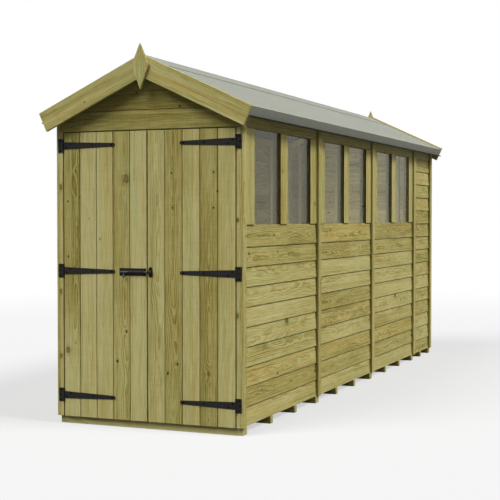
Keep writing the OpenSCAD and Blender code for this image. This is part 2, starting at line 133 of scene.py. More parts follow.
class FinishColours(bpy.types.PropertyGroup):
    """Colours of the finishes, in linear light."""

    pale_wood: bpy.props.FloatVectorProperty(
        name="Pale wood", description="Treated softwood at its lightest",
        default=(0.415, 0.377, 0.168), size=3, min=0, max=1, subtype="COLOR")
    olive_wood: bpy.props.FloatVectorProperty(
        name="Olive wood", description="Treated softwood of a middle tone",
        default=(0.292, 0.25, 0.074), size=3, min=0, max=1, subtype="COLOR")
    ring_wood: bpy.props.FloatVectorProperty(
        name="Ring wood", description="Treated softwood in the darkest rings",
        default=(0.15, 0.115, 0.022), size=3, min=0, max=1, subtype="COLOR")
    knot_wood: bpy.props.FloatVectorProperty(
        name="Knot", description="The dark heart of a knot",
        default=(0.034, 0.028, 0.008), size=3, min=0, max=1, subtype="COLOR")
    felt: bpy.props.FloatVectorProperty(
        name="Felt", description="Mineral chips of the roof felt",
        default=(0.243, 0.25, 0.214), size=3, min=0, max=1, subtype="COLOR")
    felt_dark: bpy.props.FloatVectorProperty(
        name="Felt between chips", description="Bitumen between the mineral chips",
        default=(0.124, 0.131, 0.106), size=3, min=0, max=1, subtype="COLOR")
    sheet: bpy.props.FloatVectorProperty(
        name="Roof sheet", description="Dull strand board under the felt",
        default=(0.085, 0.085, 0.07), size=3, min=0, max=1, subtype="COLOR")
    iron: bpy.props.FloatVectorProperty(
        name="Ironwork", description="Black coated iron",
        default=(0.0125, 0.0122, 0.0105), size=3, min=0, max=1, subtype="COLOR")
    pane: bpy.props.FloatVectorProperty(
        name="Pane", description="What a pane lets through",
        default=(0.95, 0.95, 0.945), size=3, min=0, max=1, subtype="COLOR")


class StageSettings(bpy.types.PropertyGroup):
    """Lamps and floor of the plain studio."""

    sky: bpy.props.FloatProperty(
        name="Sky", description="Strength of the even light from all sides",
        default=0.15, min=0, max=3)
    key: bpy.props.FloatProperty(
        name="Key lamp", description="Strength of the far lamp over the doors' left",
        default=3.79, min=0, max=20)
    side: bpy.props.FloatProperty(
        name="Side lamp", description="Strength of the far lamp over the windows",
        default=4.25, min=0, max=20)
    room: bpy.props.FloatProperty(
        name="Room lamp", description="Power of the soft lamp inside, for the windows' daylight",
        default=6.5, min=0, max=500, unit="POWER")
    end_share: bpy.props.FloatProperty(
        name="End lamp", description="Power of the lamp towards the back gable, as a share of the room lamp",
        default=0.46, min=0, max=2, subtype="FACTOR")
    floor: bpy.props.FloatProperty(
        name="Floor", description="How pale the floor is",
        default=0.42, min=0, max=1, subtype="FACTOR")
    shadow: bpy.props.FloatProperty(
        name="Shadow", description="How much of the shed's shadow the floor keeps",
        default=0.4, min=0, max=1, subtype="FACTOR")


def sizes():
    """The boards' sizes of this scene."""
    return bpy.context.scene.shed_sizes


def colours():
    """The finishes' colours of this scene."""
    return bpy.context.scene.shed_colours


# Materials


def rgba(colour):
    """A colour with its alpha, or the socket that one comes from."""
    return colour if isinstance(colour, bpy.types.NodeSocket) else (*colour, 1)


class Finish:
    """The node tree of a material or of the world, with short calls for what the finishes share."""

    def __init__(self, owner):
        owner.use_nodes = True
        self.owner = owner
        self.tree = owner.node_tree
        self.tree.nodes.clear()

    def add(self, kind, inputs=None, **settings):
        """A node with its settings, and its inputs set or linked."""
        node = self.tree.nodes.new(kind)
        for key, value in settings.items():
            setattr(node, key, value)
        for key, value in (inputs or {}).items():
            if isinstance(value, bpy.types.NodeSocket):
                self.tree.links.new(value, node.inputs[key])
            else:
                node.inputs[key].default_value = value
        return node

    def math(self, operation, a, b=0.0, c=0.0, clamp=False):
        """One number from up to three."""
        node = self.add("ShaderNodeMath", {0: a, 1: b, 2: c}, operation=operation, use_clamp=clamp)
        return node.outputs[0]

    def line(self, value, slope, start):
        """A number scaled by a slope and added to a start."""
        return self.math("MULTIPLY_ADD", value, slope, start)

    def fold(self, operation, values):
        """One number from several, taken two at a time."""
        result = values[0]
        for value in values[1:]:
            result = self.math(operation, result, value)
        return result

    def total(self, *values):
        """The sum of several numbers."""
        return self.fold("ADD", values)

    def product(self, *values):
        """Several numbers multiplied."""
        return self.fold("MULTIPLY", values)

    def most(self, *values):
        """The largest of several numbers."""
        return self.fold("MAXIMUM", values)

    def here(self):
        """A point's place in the shed."""
        return self.add("ShaderNodeTexCoord").outputs["Object"]

    def attribute(self, name):
        """A named value that the mesh carries, as a vector."""
        return self.add("ShaderNodeAttribute", attribute_name=name).outputs["Vector"]

    def split(self, vector):
        """The three numbers of a vector."""
        return self.add("ShaderNodeSeparateXYZ", {0: vector}).outputs

    def join(self, x=0.0, y=0.0, z=0.0):
        """A vector from three numbers."""
        return self.add("ShaderNodeCombineXYZ", {0: x, 1: y, 2: z}).outputs[0]

    def stretch(self, vector, scale):
        """A vector with each of its numbers scaled."""
        return self.add("ShaderNodeVectorMath", {0: vector, 1: scale}, operation="MULTIPLY").outputs[0]

    def shift(self, vector, offset):
        """A vector moved by another."""
        return self.add("ShaderNodeVectorMath", {0: vector, 1: offset}, operation="ADD").outputs[0]

    def noise(self, vector, scale, detail, rough=0.5):
        """Soft noise from 0 to 1, at one scale or at one for each direction."""
        if isinstance(scale, tuple):
            vector, scale = self.stretch(vector, scale), 1.0
        node = self.add("ShaderNodeTexNoise",
                        {"Vector": vector, "Scale": scale, "Detail": detail, "Roughness": rough})
        return node.outputs[0]

    def around(self, value, reach):
        """A value from 0 to 1 brought to lie round nought, up to a reach each way."""
        return self.line(value, 2 * reach, -reach)

    def wander(self, vector, scale, reach, detail=2.0, rough=0.5):
        """Noise round nought that really comes to its reach each way."""
        return self.around(self.step(self.noise(vector, scale, detail, rough), 0.3, 0.7), reach)

    def step(self, value, low, high, to_low=0.0, to_high=1.0):
        """A smooth step between two values."""
        node = self.add("ShaderNodeMapRange",
                        {"Value": value, "From Min": low, "From Max": high,
                         "To Min": to_low, "To Max": to_high},
                        interpolation_type="SMOOTHSTEP", clamp=True)
        return node.outputs[0]

    def ramp(self, value, stops):
        """A number through a ramp of (place, level or colour) stops."""
        node = self.add("ShaderNodeValToRGB", {0: value})
        band = node.color_ramp
        while len(band.elements) < len(stops):
            band.elements.new(0.5)
        for element, (place, level) in zip(band.elements, stops):
            element.position = place
            element.color = (level, level, level, 1) if isinstance(level, float) else rgba(level)
        return node.outputs[0]

    def blend(self, factor, a, b, mode="MIX"):
        """Two colours mixed."""
        node = self.add("ShaderNodeMix", {"Factor": factor, 6: rgba(a), 7: rgba(b)},
                        data_type="RGBA", blend_type=mode)
        return node.outputs[2]

    def scale_colour(self, colour, value):
        """A colour made lighter or darker by a number."""
        return self.add("ShaderNodeVectorMath", {0: colour, "Scale": value}, operation="SCALE").outputs[0]

    def bump(self, height, distance, strength):
        """A bumped normal."""
        node = self.add("ShaderNodeBump", {"Height": height, "Distance": distance, "Strength": strength})
        return node.outputs[0]

    def finish(self, shader):
        """Sends a shader to the material's output and gives the material."""
        self.add("ShaderNodeOutputMaterial", {"Surface": shader})
        return self.owner

    def surface(self, colour, roughness, normal=None, **plain):
        """A Principled surface as the material."""
        inputs = {"Base Color": colour, "Roughness": roughness}
        if normal is not None:
            inputs["Normal"] = normal
        inputs.update({key.replace("_", " "): value for key, value in plain.items()})
        return self.finish(self.add("ShaderNodeBsdfPrincipled", inputs).outputs[0])


def knot_share(f, along, across, radius, squeeze):
    """How far a point lies from a knot's middle, in knot radii, where a knot is longer along the grain."""
    x = f.product(along, squeeze)
    distance = f.math("SQRT", f.total(f.product(x, x), f.product(across, across)))
    return f.math("DIVIDE", distance, radius)


def knot_swing(f, share, radius):
    """How the rings are lifted round a knot."""
    fall = f.math("EXPONENT", f.product(share, share, -0.07))
    return f.product(fall, radius, 2.1)


def wood_finish(name, brightness=1.0):
    """Treated softwood whose rings, streaks, fibre and knots follow each board.

    A board's tone runs from 0, dark, to 1, pale. Its figure is 0.5 where the face passes by the heart of the
    tree, which gives broad flames, and nears 0 or 1 where the rings show as straight lines.
    """
    c = colours()
    f = Finish(bpy.data.materials.new(name))
    grain = f.attribute("grain")
    along, across, deep = f.split(grain)[0:3]
    tone, seed, figure = f.split(f.attribute("board"))[0:3]
    warmth = f.math("FRACT", f.product(seed, 10.0))
    place = f.shift(grain, f.stretch(f.join(seed, figure, tone), (83.0, 47.0, 29.0)))
    fray = f.wander(place, (70.0, 90.0, 90.0), 0.2, 1)
    flat = f.line(f.math("ABSOLUTE", f.math("SUBTRACT", figure, 0.5)), -2.0, 1.0)

    # the knot that this length of the board was given, or the eye of its figure if the size is below nought
    given_along, given_across, given_size = f.split(f.attribute("knot"))[0:3]
    size = f.most(f.math("ABSOLUTE", given_size), 0.0001)
    is_eye = f.math("LESS_THAN", given_size, 0.0)
    from_along = f.math("SUBTRACT", along, given_along)
    from_across = f.math("SUBTRACT", across, given_across)
    given = knot_share(f, from_along, from_across, size, f.line(is_eye, -0.48, 0.72))
    swing = f.product(knot_swing(f, given, size), f.line(is_eye, -0.55, 1.0))

    # small knots scattered over the wood, one in about every eighth cell
    spread = f.join(f.product(f.split(place)[0], 4.0), f.product(f.split(place)[1], 6.5))
    cells = f.add("ShaderNodeTexVoronoi", {"Vector": spread, "Scale": 1.0}, voronoi_dimensions="2D")
    pick_cell = f.split(cells.outputs["Color"])
    is_pin = f.math("LESS_THAN", pick_cell[0], 0.13)
    pin_size = f.line(pick_cell[1], 0.018, 0.008)
    pin = f.math("DIVIDE", cells.outputs["Distance"], pin_size)
    pin_lift = f.math("EXPONENT", f.product(pin, pin, -0.09))
    swing = f.total(swing, f.product(pin_lift, is_pin, 0.007))

    # distance from the heart of the tree, which sets the rings that a face shows
    slow = f.wander(place, (0.8, 1.5, 1.5), 0.022)
    wave = f.product(f.wander(place, (2.2, 7.0, 7.0), 0.006), f.total(flat, 0.6))
    ripple = f.wander(place, (22.0, 26.0, 26.0), 0.0011, 1)
    aside = f.total(across, f.around(figure, 0.17), slow)
    depth = f.total(f.line(seed, 0.04, 0.02), deep, wave, ripple, swing,
                    f.product(along, f.around(seed, 0.03)))
    radius = f.math("SQRT", f.total(f.product(aside, aside), f.product(depth, depth)))
    turns = f.math("DIVIDE", radius, f.line(warmth, 0.0035, 0.0065))
    rings = f.ramp(f.math("FRACT", turns), [(0.0, 0.0), (0.35, 0.1), (0.8, 1.0), (0.93, 0.9), (1.0, 0.0)])
    seen = f.step(f.noise(place, (1.6, 16.0, 16.0), 1), 0.36, 0.62, 0.35, 1.0)
    flame = f.product(f.line(flat, 0.29, 0.19), seen)
    bands = f.wander(f.join(f.product(turns, 0.22), f.product(seed, 31.0)), 1.0, 0.075, 1)
    thin_bands = f.wander(f.join(f.product(turns, 0.8), f.product(seed, 17.0)), 1.0, 0.07, 1)
    streaks = f.wander(place, (0.8, 150.0, 150.0), 0.1, 3, 0.6)
    dashes = f.wander(place, (9.0, 190.0, 190.0), 0.13, 1)
    saw_marks = f.wander(place, (75.0, 8.0, 8.0), 0.028, 1)
    lines = f.step(f.noise(place, (0.7, 75.0, 75.0), 1), 0.58, 0.68, 0.0, 0.2)
    fibre = f.noise(place, (12.0, 560.0, 560.0), 2, 0.6)
    patches = f.wander(place, (2.0, 6.0, 6.0), 0.08)

    # from the pale wood to the dark of the rings
    tone = f.total(tone, f.split(f.attribute("paler"))[0])
    dark = f.total(f.line(tone, -0.55, 0.6), f.product(rings, flame), bands, thin_bands,
                   streaks, dashes, saw_marks, lines, patches, f.around(fibre, 0.3))
    colour = f.ramp(dark, [(0.0, c.pale_wood), (0.5, c.olive_wood), (1.0, c.ring_wood)])

    # greener and browner places, and boards that are warmer or cooler than the rest
    hue = f.noise(place, (1.3, 26.0, 26.0), 2)
    colour = f.blend(f.step(hue, 0.5, 0.68, 0.0, 0.8), colour, (0.93, 1.0, 1.0), "MULTIPLY")
    colour = f.blend(f.step(hue, 0.5, 0.32, 0.0, 0.8), colour, (1.04, 0.985, 0.91), "MULTIPLY")
    colour = f.blend(f.step(warmth, 0.55, 1.0, 0.0, 1.0), colour, (1.07, 0.965, 0.84), "MULTIPLY")
    colour = f.blend(f.step(warmth, 0.35, 0.0, 0.0, 1.0), colour, (0.97, 1.0, 1.0), "MULTIPLY")

    # knots: a dark rim round a brown heart, dark all through where the knot is small or large, and a halo
    share = f.total(given, fray)
    is_given = f.math("GREATER_THAN", given_size, 0.002)
    knot = f.product(f.step(share, 1.15, 0.85), is_given)
    pins = f.product(f.step(f.total(pin, fray), 1.1, 0.7), is_pin)
    eye = f.product(f.step(share, 1.2, 0.5), is_eye)
    halo = f.most(f.product(f.step(share, 2.8, 0.9), is_given),
                  f.product(f.step(pin, 3.0, 0.9), is_pin), eye)
    colour = f.blend(f.product(halo, 0.4), colour, (0.17, 0.128, 0.028))
    rim = f.blend(f.step(size, 0.006, 0.011), c.knot_wood, (0.036, 0.03, 0.009))
    heart = f.most(f.line(f.math("SINE", f.product(share, 12.0)), 0.2, 0.22), f.step(share, 0.7, 1.0),
                   f.step(size, 0.01, 0.006), f.step(size, 0.016, 0.018, 0.0, 0.55))
    colour = f.blend(knot, colour, f.blend(heart, (0.2, 0.142, 0.042), rim))
    colour = f.blend(pins, colour, c.knot_wood)
    colour = f.scale_colour(colour, brightness)

    rough = f.line(fibre, 0.2, 0.62)
    height = f.total(f.product(rings, 0.4), fibre, f.product(f.most(knot, pins), -0.5))
    return f.surface(colour, rough, f.bump(height, 0.0005, 0.5), Specular_IOR_Level=0.14)


# The height over the felt's lower edge up to which it hangs, and the height of the fold over that
FELT_HANGS = 0.06
FELT_FOLD = 0.006


def felt_finish():
    """Green-grey mineral chips pressed into bitumen, with painted light on the felt that hangs over the
    eaves.
    """
    c = colours()
    f = Finish(bpy.data.materials.new("mineral_felt"))
    here = f.here()
    chips = f.add("ShaderNodeTexVoronoi", {"Vector": here, "Scale": 520.0})
    chip_tone = f.split(chips.outputs["Color"])[0]
    grit = f.noise(here, 130.0, 3, 0.75)
    blotch = f.noise(here, (2.4, 1.1, 2.4), 3, 0.6)
    gap = f.step(chips.outputs["Distance"], 0.45, 0.8)
    shade = f.total(f.around(chip_tone, 0.30), f.around(grit, 0.5))
    shade = f.math("ADD", shade, f.total(f.around(blotch, 0.16), 0.36), clamp=True)
    colour = f.blend(shade, c.felt, c.felt_dark)
    colour = f.blend(f.product(gap, 0.4), colour, c.felt_dark)
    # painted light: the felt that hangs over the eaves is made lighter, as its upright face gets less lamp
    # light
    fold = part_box("roof_felt_right")[0].z + FELT_HANGS
    fascia_painted_light = f.step(f.split(here)[2], fold, fold - FELT_FOLD)
    colour = f.blend(fascia_painted_light, colour, (1.3, 1.3, 1.26), "MULTIPLY")
    height = f.total(f.product(gap, -0.8), grit)
    return f.surface(colour, 0.93, f.bump(height, 0.0008, 0.6), Specular_IOR_Level=0.15)


def black_shade_finish():
    """Near black and a little crinkled: painted shade under the eaves and painted shadow along the ridge
    strip.
    """
    f = Finish(bpy.data.materials.new("bare_bitumen"))
    crinkle = f.noise(f.here(), 150.0, 3, 0.6)
    colour = f.blend(crinkle, (0.008, 0.008, 0.007), (0.02, 0.02, 0.017))
    return f.surface(colour, 0.8, f.bump(crinkle, 0.0004, 0.5), Specular_IOR_Level=0.1)


def sheet_finish():
    """Strand board, dull and grey with age."""
    c = colours()
    f = Finish(bpy.data.materials.new("strand_board"))
    here = f.here()
    warp = f.noise(here, 9.0, 2)
    strands = f.add("ShaderNodeTexVoronoi",
                    {"Vector": f.shift(f.stretch(here, (38.0, 16.0, 38.0)),
                                       f.scale_colour(f.join(warp, warp, warp), 2.0)), "Scale": 1.0})
    tone = f.split(strands.outputs["Color"])[0]
    streak = f.noise(here, (90.0, 14.0, 90.0), 3, 0.6)
    level = f.total(f.line(tone, 0.45, 0.72), f.around(streak, 0.22))
    colour = f.scale_colour(f.blend(1.0, c.sheet, (1, 1, 1), "MULTIPLY"), level)
    return f.surface(colour, 0.85, f.bump(f.total(tone, streak), 0.0006, 0.5), Specular_IOR_Level=0.2)


def iron_finish():
    """Black powder coat over pressed iron."""
    c = colours()
    f = Finish(bpy.data.materials.new("coated_iron"))
    here = f.here()
    peel = f.noise(here, 900.0, 2, 0.6)
    rub = f.noise(here, 55.0, 3, 0.65)
    colour = f.blend(f.step(rub, 0.55, 0.8, 0.0, 0.5), c.iron, (0.02, 0.0195, 0.017))
    rough = f.line(rub, 0.2, 0.45)
    return f.surface(colour, rough, f.bump(peel, 0.0003, 0.3), Specular_IOR_Level=0.1)


def bar_finish():
    """The sliding bar, whose coat is rubbed smooth."""
    c = colours()
    f = Finish(bpy.data.materials.new("rubbed_bar"))
    rub = f.noise(f.here(), (12.0, 500.0, 500.0), 3, 0.6)
    colour = f.blend(rub, c.iron, (0.03, 0.03, 0.028))
    return f.surface(colour, f.line(rub, 0.15, 0.3), Specular_IOR_Level=0.3)


def screw_finish():
    """Screws near black, darker than the coated iron round them: blackened heads, and painted shade of the
    countersunk holes that they sit in.
    """
    f = Finish(bpy.data.materials.new("black_screw"))
    rub = f.noise(f.here(), 600.0, 2, 0.6)
    colour = f.blend(rub, (0.0015, 0.0015, 0.0013), (0.004, 0.0038, 0.0034))
    return f.surface(colour, f.line(rub, 0.2, 0.7), Specular_IOR_Level=0.02)


# The height over a pane of the lighter band next to it, painted light to look like the room seen through the
# pane
LIGHTER_BAND = 0.005


def reveal_shade_finish():
    """Dark strips along the panes' edges: painted shade in the reveals, with a lighter band next to the pane
    painted to look like the room seen through it.
    """
    f = Finish(bpy.data.materials.new("glazing_tape"))
    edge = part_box("window_panes_1")[1].x + LIGHTER_BAND
    here = f.here()
    wear = f.noise(here, 240.0, 2, 0.6)
    # painted shade: near black, as the reveal lies in shade
    colour = f.blend(wear, (0.02, 0.018, 0.007), (0.034, 0.031, 0.012))
    # painted light: the band next to the pane is coloured like the room seen through the pane
    colour = f.blend(f.step(f.split(here)[0], edge + 0.0005, edge - 0.0005), colour, (0.13, 0.115, 0.08))
    return f.surface(colour, f.line(wear, 0.2, 0.6), Specular_IOR_Level=0.1)


def zinc_finish():
    """Dull heads of galvanised nails."""
    f = Finish(bpy.data.materials.new("nail_zinc"))
    rub = f.noise(f.here(), 700.0, 2, 0.6)
    colour = f.blend(rub, (0.10, 0.095, 0.07), (0.045, 0.042, 0.03))
    return f.surface(colour, f.line(rub, 0.2, 0.45), Metallic=0.7)


def pane_finish():
    """Clear thin sheet: it lets lamps through and mirrors a little more at a low angle."""
    c = colours()
    f = Finish(bpy.data.materials.new("clear_pane"))
    dust = f.noise(f.here(), 14.0, 4, 0.65)
    through = f.add("ShaderNodeBsdfTransparent", {"Color": rgba(c.pane)}).outputs[0]
    shine = f.add("ShaderNodeBsdfGlossy",
                  {"Color": (1, 0.99, 0.91, 1), "Roughness": f.line(dust, 0.03, 0.015)}).outputs[0]
    facing = f.add("ShaderNodeLayerWeight", {"Blend": 0.5}).outputs["Facing"]
    share = f.line(f.math("POWER", facing, 5.0), 0.22, 0.032)
    mixed = f.add("ShaderNodeMixShader", {0: share, 1: through, 2: shine}).outputs[0]
    return f.finish(mixed)


def made_once(name, maker, *values):
    """A material that several pieces share: found by its name, or made."""
    return bpy.data.materials.get(name) or maker(*values)


def boards_wood():
    """The wood of the boards and strips that show outside."""
    return made_once("board_wood", wood_finish, "board_wood")


def frame_wood():
    """The wood of the frame and the floor, a little darker."""
    return made_once("frame_wood", wood_finish, "frame_wood", 0.97)


def black_iron():
    """The ironwork's coat."""
    return made_once("coated_iron", iron_finish)


def black_screw():
    """The finish of every screw."""
    return made_once("black_screw", screw_finish)


# Modelling


def clear_selection():
    """Back to object mode with nothing selected."""
    if bpy.context.object is not None and bpy.context.object.mode != "OBJECT":
        bpy.ops.object.mode_set(mode="OBJECT")
    bpy.ops.object.select_all(action="DESELECT")


def pick(*pieces):
    """Selects these pieces alone, the first one active."""
    clear_selection()
    for piece in pieces:
        piece.select_set(True)
    bpy.context.view_layer.objects.active = pieces[0]


def edit_all(piece):
    """Opens a piece in edit mode with all of it selected."""
    pick(piece)
    bpy.ops.object.mode_set(mode="EDIT")
    bpy.ops.mesh.select_all(action="SELECT")


def select_in(piece, wanted, kind="edges"):
    """In edit mode, selects the edges or faces of a piece that a test picks."""
    pick(piece)
    bpy.context.tool_settings.mesh_select_mode = (False, kind == "edges", kind == "faces")
    bpy.ops.object.mode_set(mode="EDIT")
    bpy.ops.mesh.select_all(action="DESELECT")
    mesh = bmesh.from_edit_mesh(piece.data)
    for element in getattr(mesh, kind):
        if wanted(element):
            element.select_set(True)
    bmesh.update_edit_mesh(piece.data)


def end_edit():
    """Back from edit mode, which writes the mesh."""
    bpy.ops.object.mode_set(mode="OBJECT")


def block(name, low, high):
    """A plain box between two corners, from which a piece is worked."""
    clear_selection()
    low, high = Vector(low), Vector(high)
    bpy.ops.mesh.primitive_cube_add(size=1, location=(low + high) / 2, scale=high - low)
    piece = bpy.context.object
    piece.name = name
    bpy.ops.object.transform_apply(location=True, rotation=True, scale=True)
    return piece


def modified(piece, kind, **settings):
    """A piece with one modifier put on and applied."""
    pick(piece)
    bpy.ops.object.modifier_add(type=kind)
    modifier = piece.modifiers[-1]
    for key, value in settings.items():
        setattr(modifier, key, value)
    bpy.ops.object.modifier_apply(modifier=modifier.name)
    return piece


def soften(piece, width, segments=1, angle=30):
    """Rounds every edge sharper than an angle."""
    return modified(piece, "BEVEL", width=width, segments=segments, limit_method="ANGLE",
                    angle_limit=math.radians(angle))


def twin(piece, name, move=(0, 0, 0)):
    """A copy with its own mesh, moved."""
    copy = piece.copy()
    copy.data = piece.data.copy()
    copy.name = name
    bpy.context.scene.collection.objects.link(copy)
    copy.data.transform(Matrix.Translation(Vector(move)))
    return copy


def joined(name, pieces):
    """Several pieces as one mesh."""
    pick(*pieces)
    if len(pieces) > 1:
        bpy.ops.object.join()
    piece = bpy.context.object
    piece.name = name
    piece.data.name = name
    return piece


def points_of(mesh):
    """The points of a mesh as an array."""
    points = np.empty(len(mesh.vertices) * 3)
    mesh.vertices.foreach_get("co", points)
    return points.reshape(-1, 3)


def store(mesh, name, rows, domain="POINT"):
    """Writes one vector for each point or face under a name."""
    layer = mesh.attributes.get(name) or mesh.attributes.new(name, "FLOAT_VECTOR", domain)
    layer.data.foreach_set("vector", np.asarray(rows, np.float32).ravel())


def halfway(places):
    """The places halfway between neighbours in a row."""
    return [(a + b) / 2 for a, b in zip(places, places[1:])]


def outer_x(low, high, sign):
    """The side of a box that faces left or right, away from the shed's middle."""
    return high.x if sign > 0 else low.x


def board_seed(chance, warmth):
    """A board's seed, whose first digit is free and whose rest says how warm the board is."""
    return (chance.randrange(10) + min(warmth, 0.99)) / 10


def random_board(chance, tones=(0.25, 0.85), figures=(0.15, 0.85)):
    """A board's own tone, seed and figure, from a row of seeded chances."""
    return (chance.uniform(*tones), board_seed(chance, chance.uniform(0.15, 0.75)), chance.uniform(*figures))


def lay_grain(piece, along, out, board, knots=()):
    """Tells each point where it lies in its board, and each face which knot is the nearest.

    A place is given as along the grain, across it, and in from the face, from the board's middle.
    """
    points = points_of(piece.data)
    along = Vector(along).normalized()
    out = Vector(out).normalized()
    across = along.cross(out)
    centre = (points.min(0) + points.max(0)) / 2
    axes = np.array([along, across, -out])
    store(piece.data, "grain", (points - centre) @ axes.T)
    store(piece.data, "board", np.tile(board, (len(points), 1)))
    nearest = []
    for face in piece.data.polygons:
        middle = (face.center - Vector(centre)).dot(along)
        nearest.append(min(knots, key=lambda knot: abs(knot[0] - middle)) if knots else (0, 0, 0))
    store(piece.data, "knot", nearest, "FACE")
    return piece


def axis_vector(axis):
    """One step along x, y or z, by number."""
    return Vector([float(k == axis) for k in range(3)])


def cut_across(piece, axis, places):
    """Cuts a board's faces through at places along an axis, so that each length can carry its own knot."""
    normal = axis_vector(axis)
    pick(piece)
    bpy.ops.object.mode_set(mode="EDIT")
    for place in places:
        bpy.ops.mesh.select_all(action="SELECT")
        bpy.ops.mesh.bisect(plane_co=normal * place, plane_no=normal)
    end_edit()
    return piece


def islands(mesh):
    """The separate solids of a mesh, each as a list of its point numbers."""
    parent = list(range(len(mesh.vertices)))

    def root(i):
        """The point that stands for the solid of another."""
        while parent[i] != i:
            parent[i] = parent[parent[i]]
            i = parent[i]
        return i

    for edge in mesh.edges:
        a, b = root(edge.vertices[0]), root(edge.vertices[1])
        parent[a] = b
    groups = {}
    for i in range(len(parent)):
        groups.setdefault(root(i), []).append(i)
    return [groups[key] for key in sorted(groups)]


# How far a face's normal may lean along its timber before the face counts as one that closes an end
END_FACE = 0.2


def timber_axes(mesh, group, along):
    """How one timber lies: along its longest edge, and out of its widest face."""
    members = set(group)
    points = mesh.vertices
    if along is None:
        edges = [points[edge.vertices[0]].co - points[edge.vertices[1]].co
                 for edge in mesh.edges if edge.vertices[0] in members]
        along = max(edges, key=lambda edge: edge.length)
    along = Vector(along).normalized()
    if along[max(range(3), key=lambda k: abs(along[k]))] < 0:
        along = -along
    faces = [face for face in mesh.polygons
             if face.vertices[0] in members and abs(face.normal.dot(along)) < END_FACE]
    out = max(faces, key=lambda face: face.area).normal
    return along, (out - along * out.dot(along)).normalized()


# How near two points of a frame node are when they are one, and how little two faces turn that are one
SAME_POINT = 0.00002
SAME_PLANE = math.radians(1)


def copy_of_node(node, name):
    """A working copy of a frame node: its loose triangles merged into clean faces."""
    source = frame["nodes"][node]
    piece = bpy.data.objects.new(name, source.data.copy())
    bpy.context.scene.collection.objects.link(piece)
    piece.data.materials.clear()
    pick(piece)
    if piece.data.has_custom_normals:
        bpy.ops.mesh.customdata_custom_splitnormals_clear()
    edit_all(piece)
    bpy.ops.mesh.remove_doubles(threshold=SAME_POINT)
    bpy.ops.mesh.dissolve_limited(angle_limit=SAME_PLANE)
    end_edit()
    for layer in list(piece.data.uv_layers):
        piece.data.uv_layers.remove(layer)
    return piece


def hand_over(piece, node, material, body=None, smooth=20):
    """Gives a finished piece its material and its body, and hides the frame node that it stands for.

    Edges that turn more than the angle stay sharp, or a long face would shade along its whole length.
    """
    pick(piece)
    piece.data.materials.clear()
    piece.data.materials.append(material)
    bpy.ops.object.shade_smooth_by_angle(angle=math.radians(smooth))
    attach(piece, body or frame["nodes"][node]["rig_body"])
    if node is not None:
        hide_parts(node)
    return piece


# Timbers of the frame nodes


# How far along a timber a knot in TIMBER_KNOTS is looked for
KNOT_REACH = 1.0


def nearest_knot(face, knots, lie):
    """The knot nearest to a face of a timber, as its place along and across the timber and its radius."""
    centre, run, across, reach = lie
    best = (0, 0, 0)
    nearest = KNOT_REACH
    for *place, radius in knots:
        from_centre = Vector(place) - Vector(centre)
        spot = (from_centre.dot(run), from_centre.dot(across))
        away = abs((face.center - Vector(place)).dot(run))
        if abs(spot[0]) < reach[0] and abs(spot[1]) < reach[1] and away < nearest:
            best = (*spot, radius)
            nearest = away
    return best


# For some nodes, the knots that show on their timbers: each at its place in the shed, with its radius,
# which is below nought for an eye of the figure. The finials have none
TIMBER_KNOTS = {
    "front_face_boards": ((-0.563, -2.156, 1.372, 0.011), (-0.563, -2.156, 0.766, 0.009),
                          (-0.563, -2.156, 0.392, 0.009), (0.551, -2.156, 1.182, 0.008),
                          (0.551, -2.156, 0.66, 0.009)),
    "bargeboards_front": ((0.268, -2.17, 1.955, -0.008), (0.4, -2.17, 1.87, -0.011),
                          (-0.36, -2.17, 1.85, 0.0035)),
    "finials": ()}
# The heights at which upright timbers are cut across, so that each length can carry its own knot
TIMBER_CUTS = {"front_face_boards": (0.92, 0.58, 1.28)}
# The share of the other nodes' timbers that have a knot
KNOTTED = 0.7


def dressed_timbers(node, ease=None, along=None, tones=(0.3, 0.85), figures=(0.15, 0.85),
                    wood=boards_wood):
    """The timbers of a frame node with eased edges, and grain that runs along each of them."""
    piece = copy_of_node(node, node + "_timber")
    given = TIMBER_KNOTS.get(node)
    if node in TIMBER_CUTS:
        cut_across(piece, 2, TIMBER_CUTS[node])
    chance = random.Random(node)
    points = points_of(piece.data)
    grain = np.zeros((len(points), 3))
    board = np.zeros((len(points), 3))
    knot = np.zeros((len(points), 3))
    lies = {}
    for group in islands(piece.data):
        run, out = timber_axes(piece.data, group, along)
        across = run.cross(out)
        mine = points[group]
        centre = (mine.min(0) + mine.max(0)) / 2
        grain[group] = (mine - centre) @ np.array([run, across, -out]).T
        board[group] = random_board(chance, tones, figures)
        reach = np.abs(grain[group]).max(0)
        for i in group:
            lies[i] = (centre, run, across, reach)
        if chance.random() < KNOTTED:
            knot[group] = (chance.uniform(-0.7, 0.7) * reach[0], chance.uniform(-0.5, 0.5) * reach[1],
                           min(chance.uniform(0.004, 0.008), reach[1] * 0.35))
    store(piece.data, "grain", grain)
    store(piece.data, "board", board)
    near = [knot[face.vertices[0]] for face in piece.data.polygons]
    if given is not None:
        near = [nearest_knot(face, given, lies[face.vertices[0]]) for face in piece.data.polygons]
    store(piece.data, "knot", near, "FACE")
    soften(piece, ease or sizes().ease)
    return hand_over(piece, node, wood())


def under_roof_cut(piece):
    """Cuts away what stands above the underside of the two roof slopes."""
    slope = sizes().pitch
    for _, sign in SIDES:
        edit_all(piece)
        bpy.ops.mesh.bisect(plane_co=(0, 0, GABLE_HIGH.z),
                            plane_no=(sign * math.sin(slope), 0, math.cos(slope)),
                            use_fill=True, clear_outer=True)
        end_edit()
    return piece


def roof_height(x):
    """Height of the underside of the roof over a place across the shed."""
    return GABLE_HIGH.z - abs(x) * math.tan(sizes().pitch)


# Overlap cladding


def lapped_board(name, low, high, outward, ease):
    """One overlap board: a sawn board whose top leans back under the next one."""
    piece = block(name, low, high)
    select_in(piece, lambda face: face.normal.z > 0.9, "faces")
    bpy.ops.transform.translate(value=-outward * sizes().thick)
    end_edit()
    return soften(piece, ease)


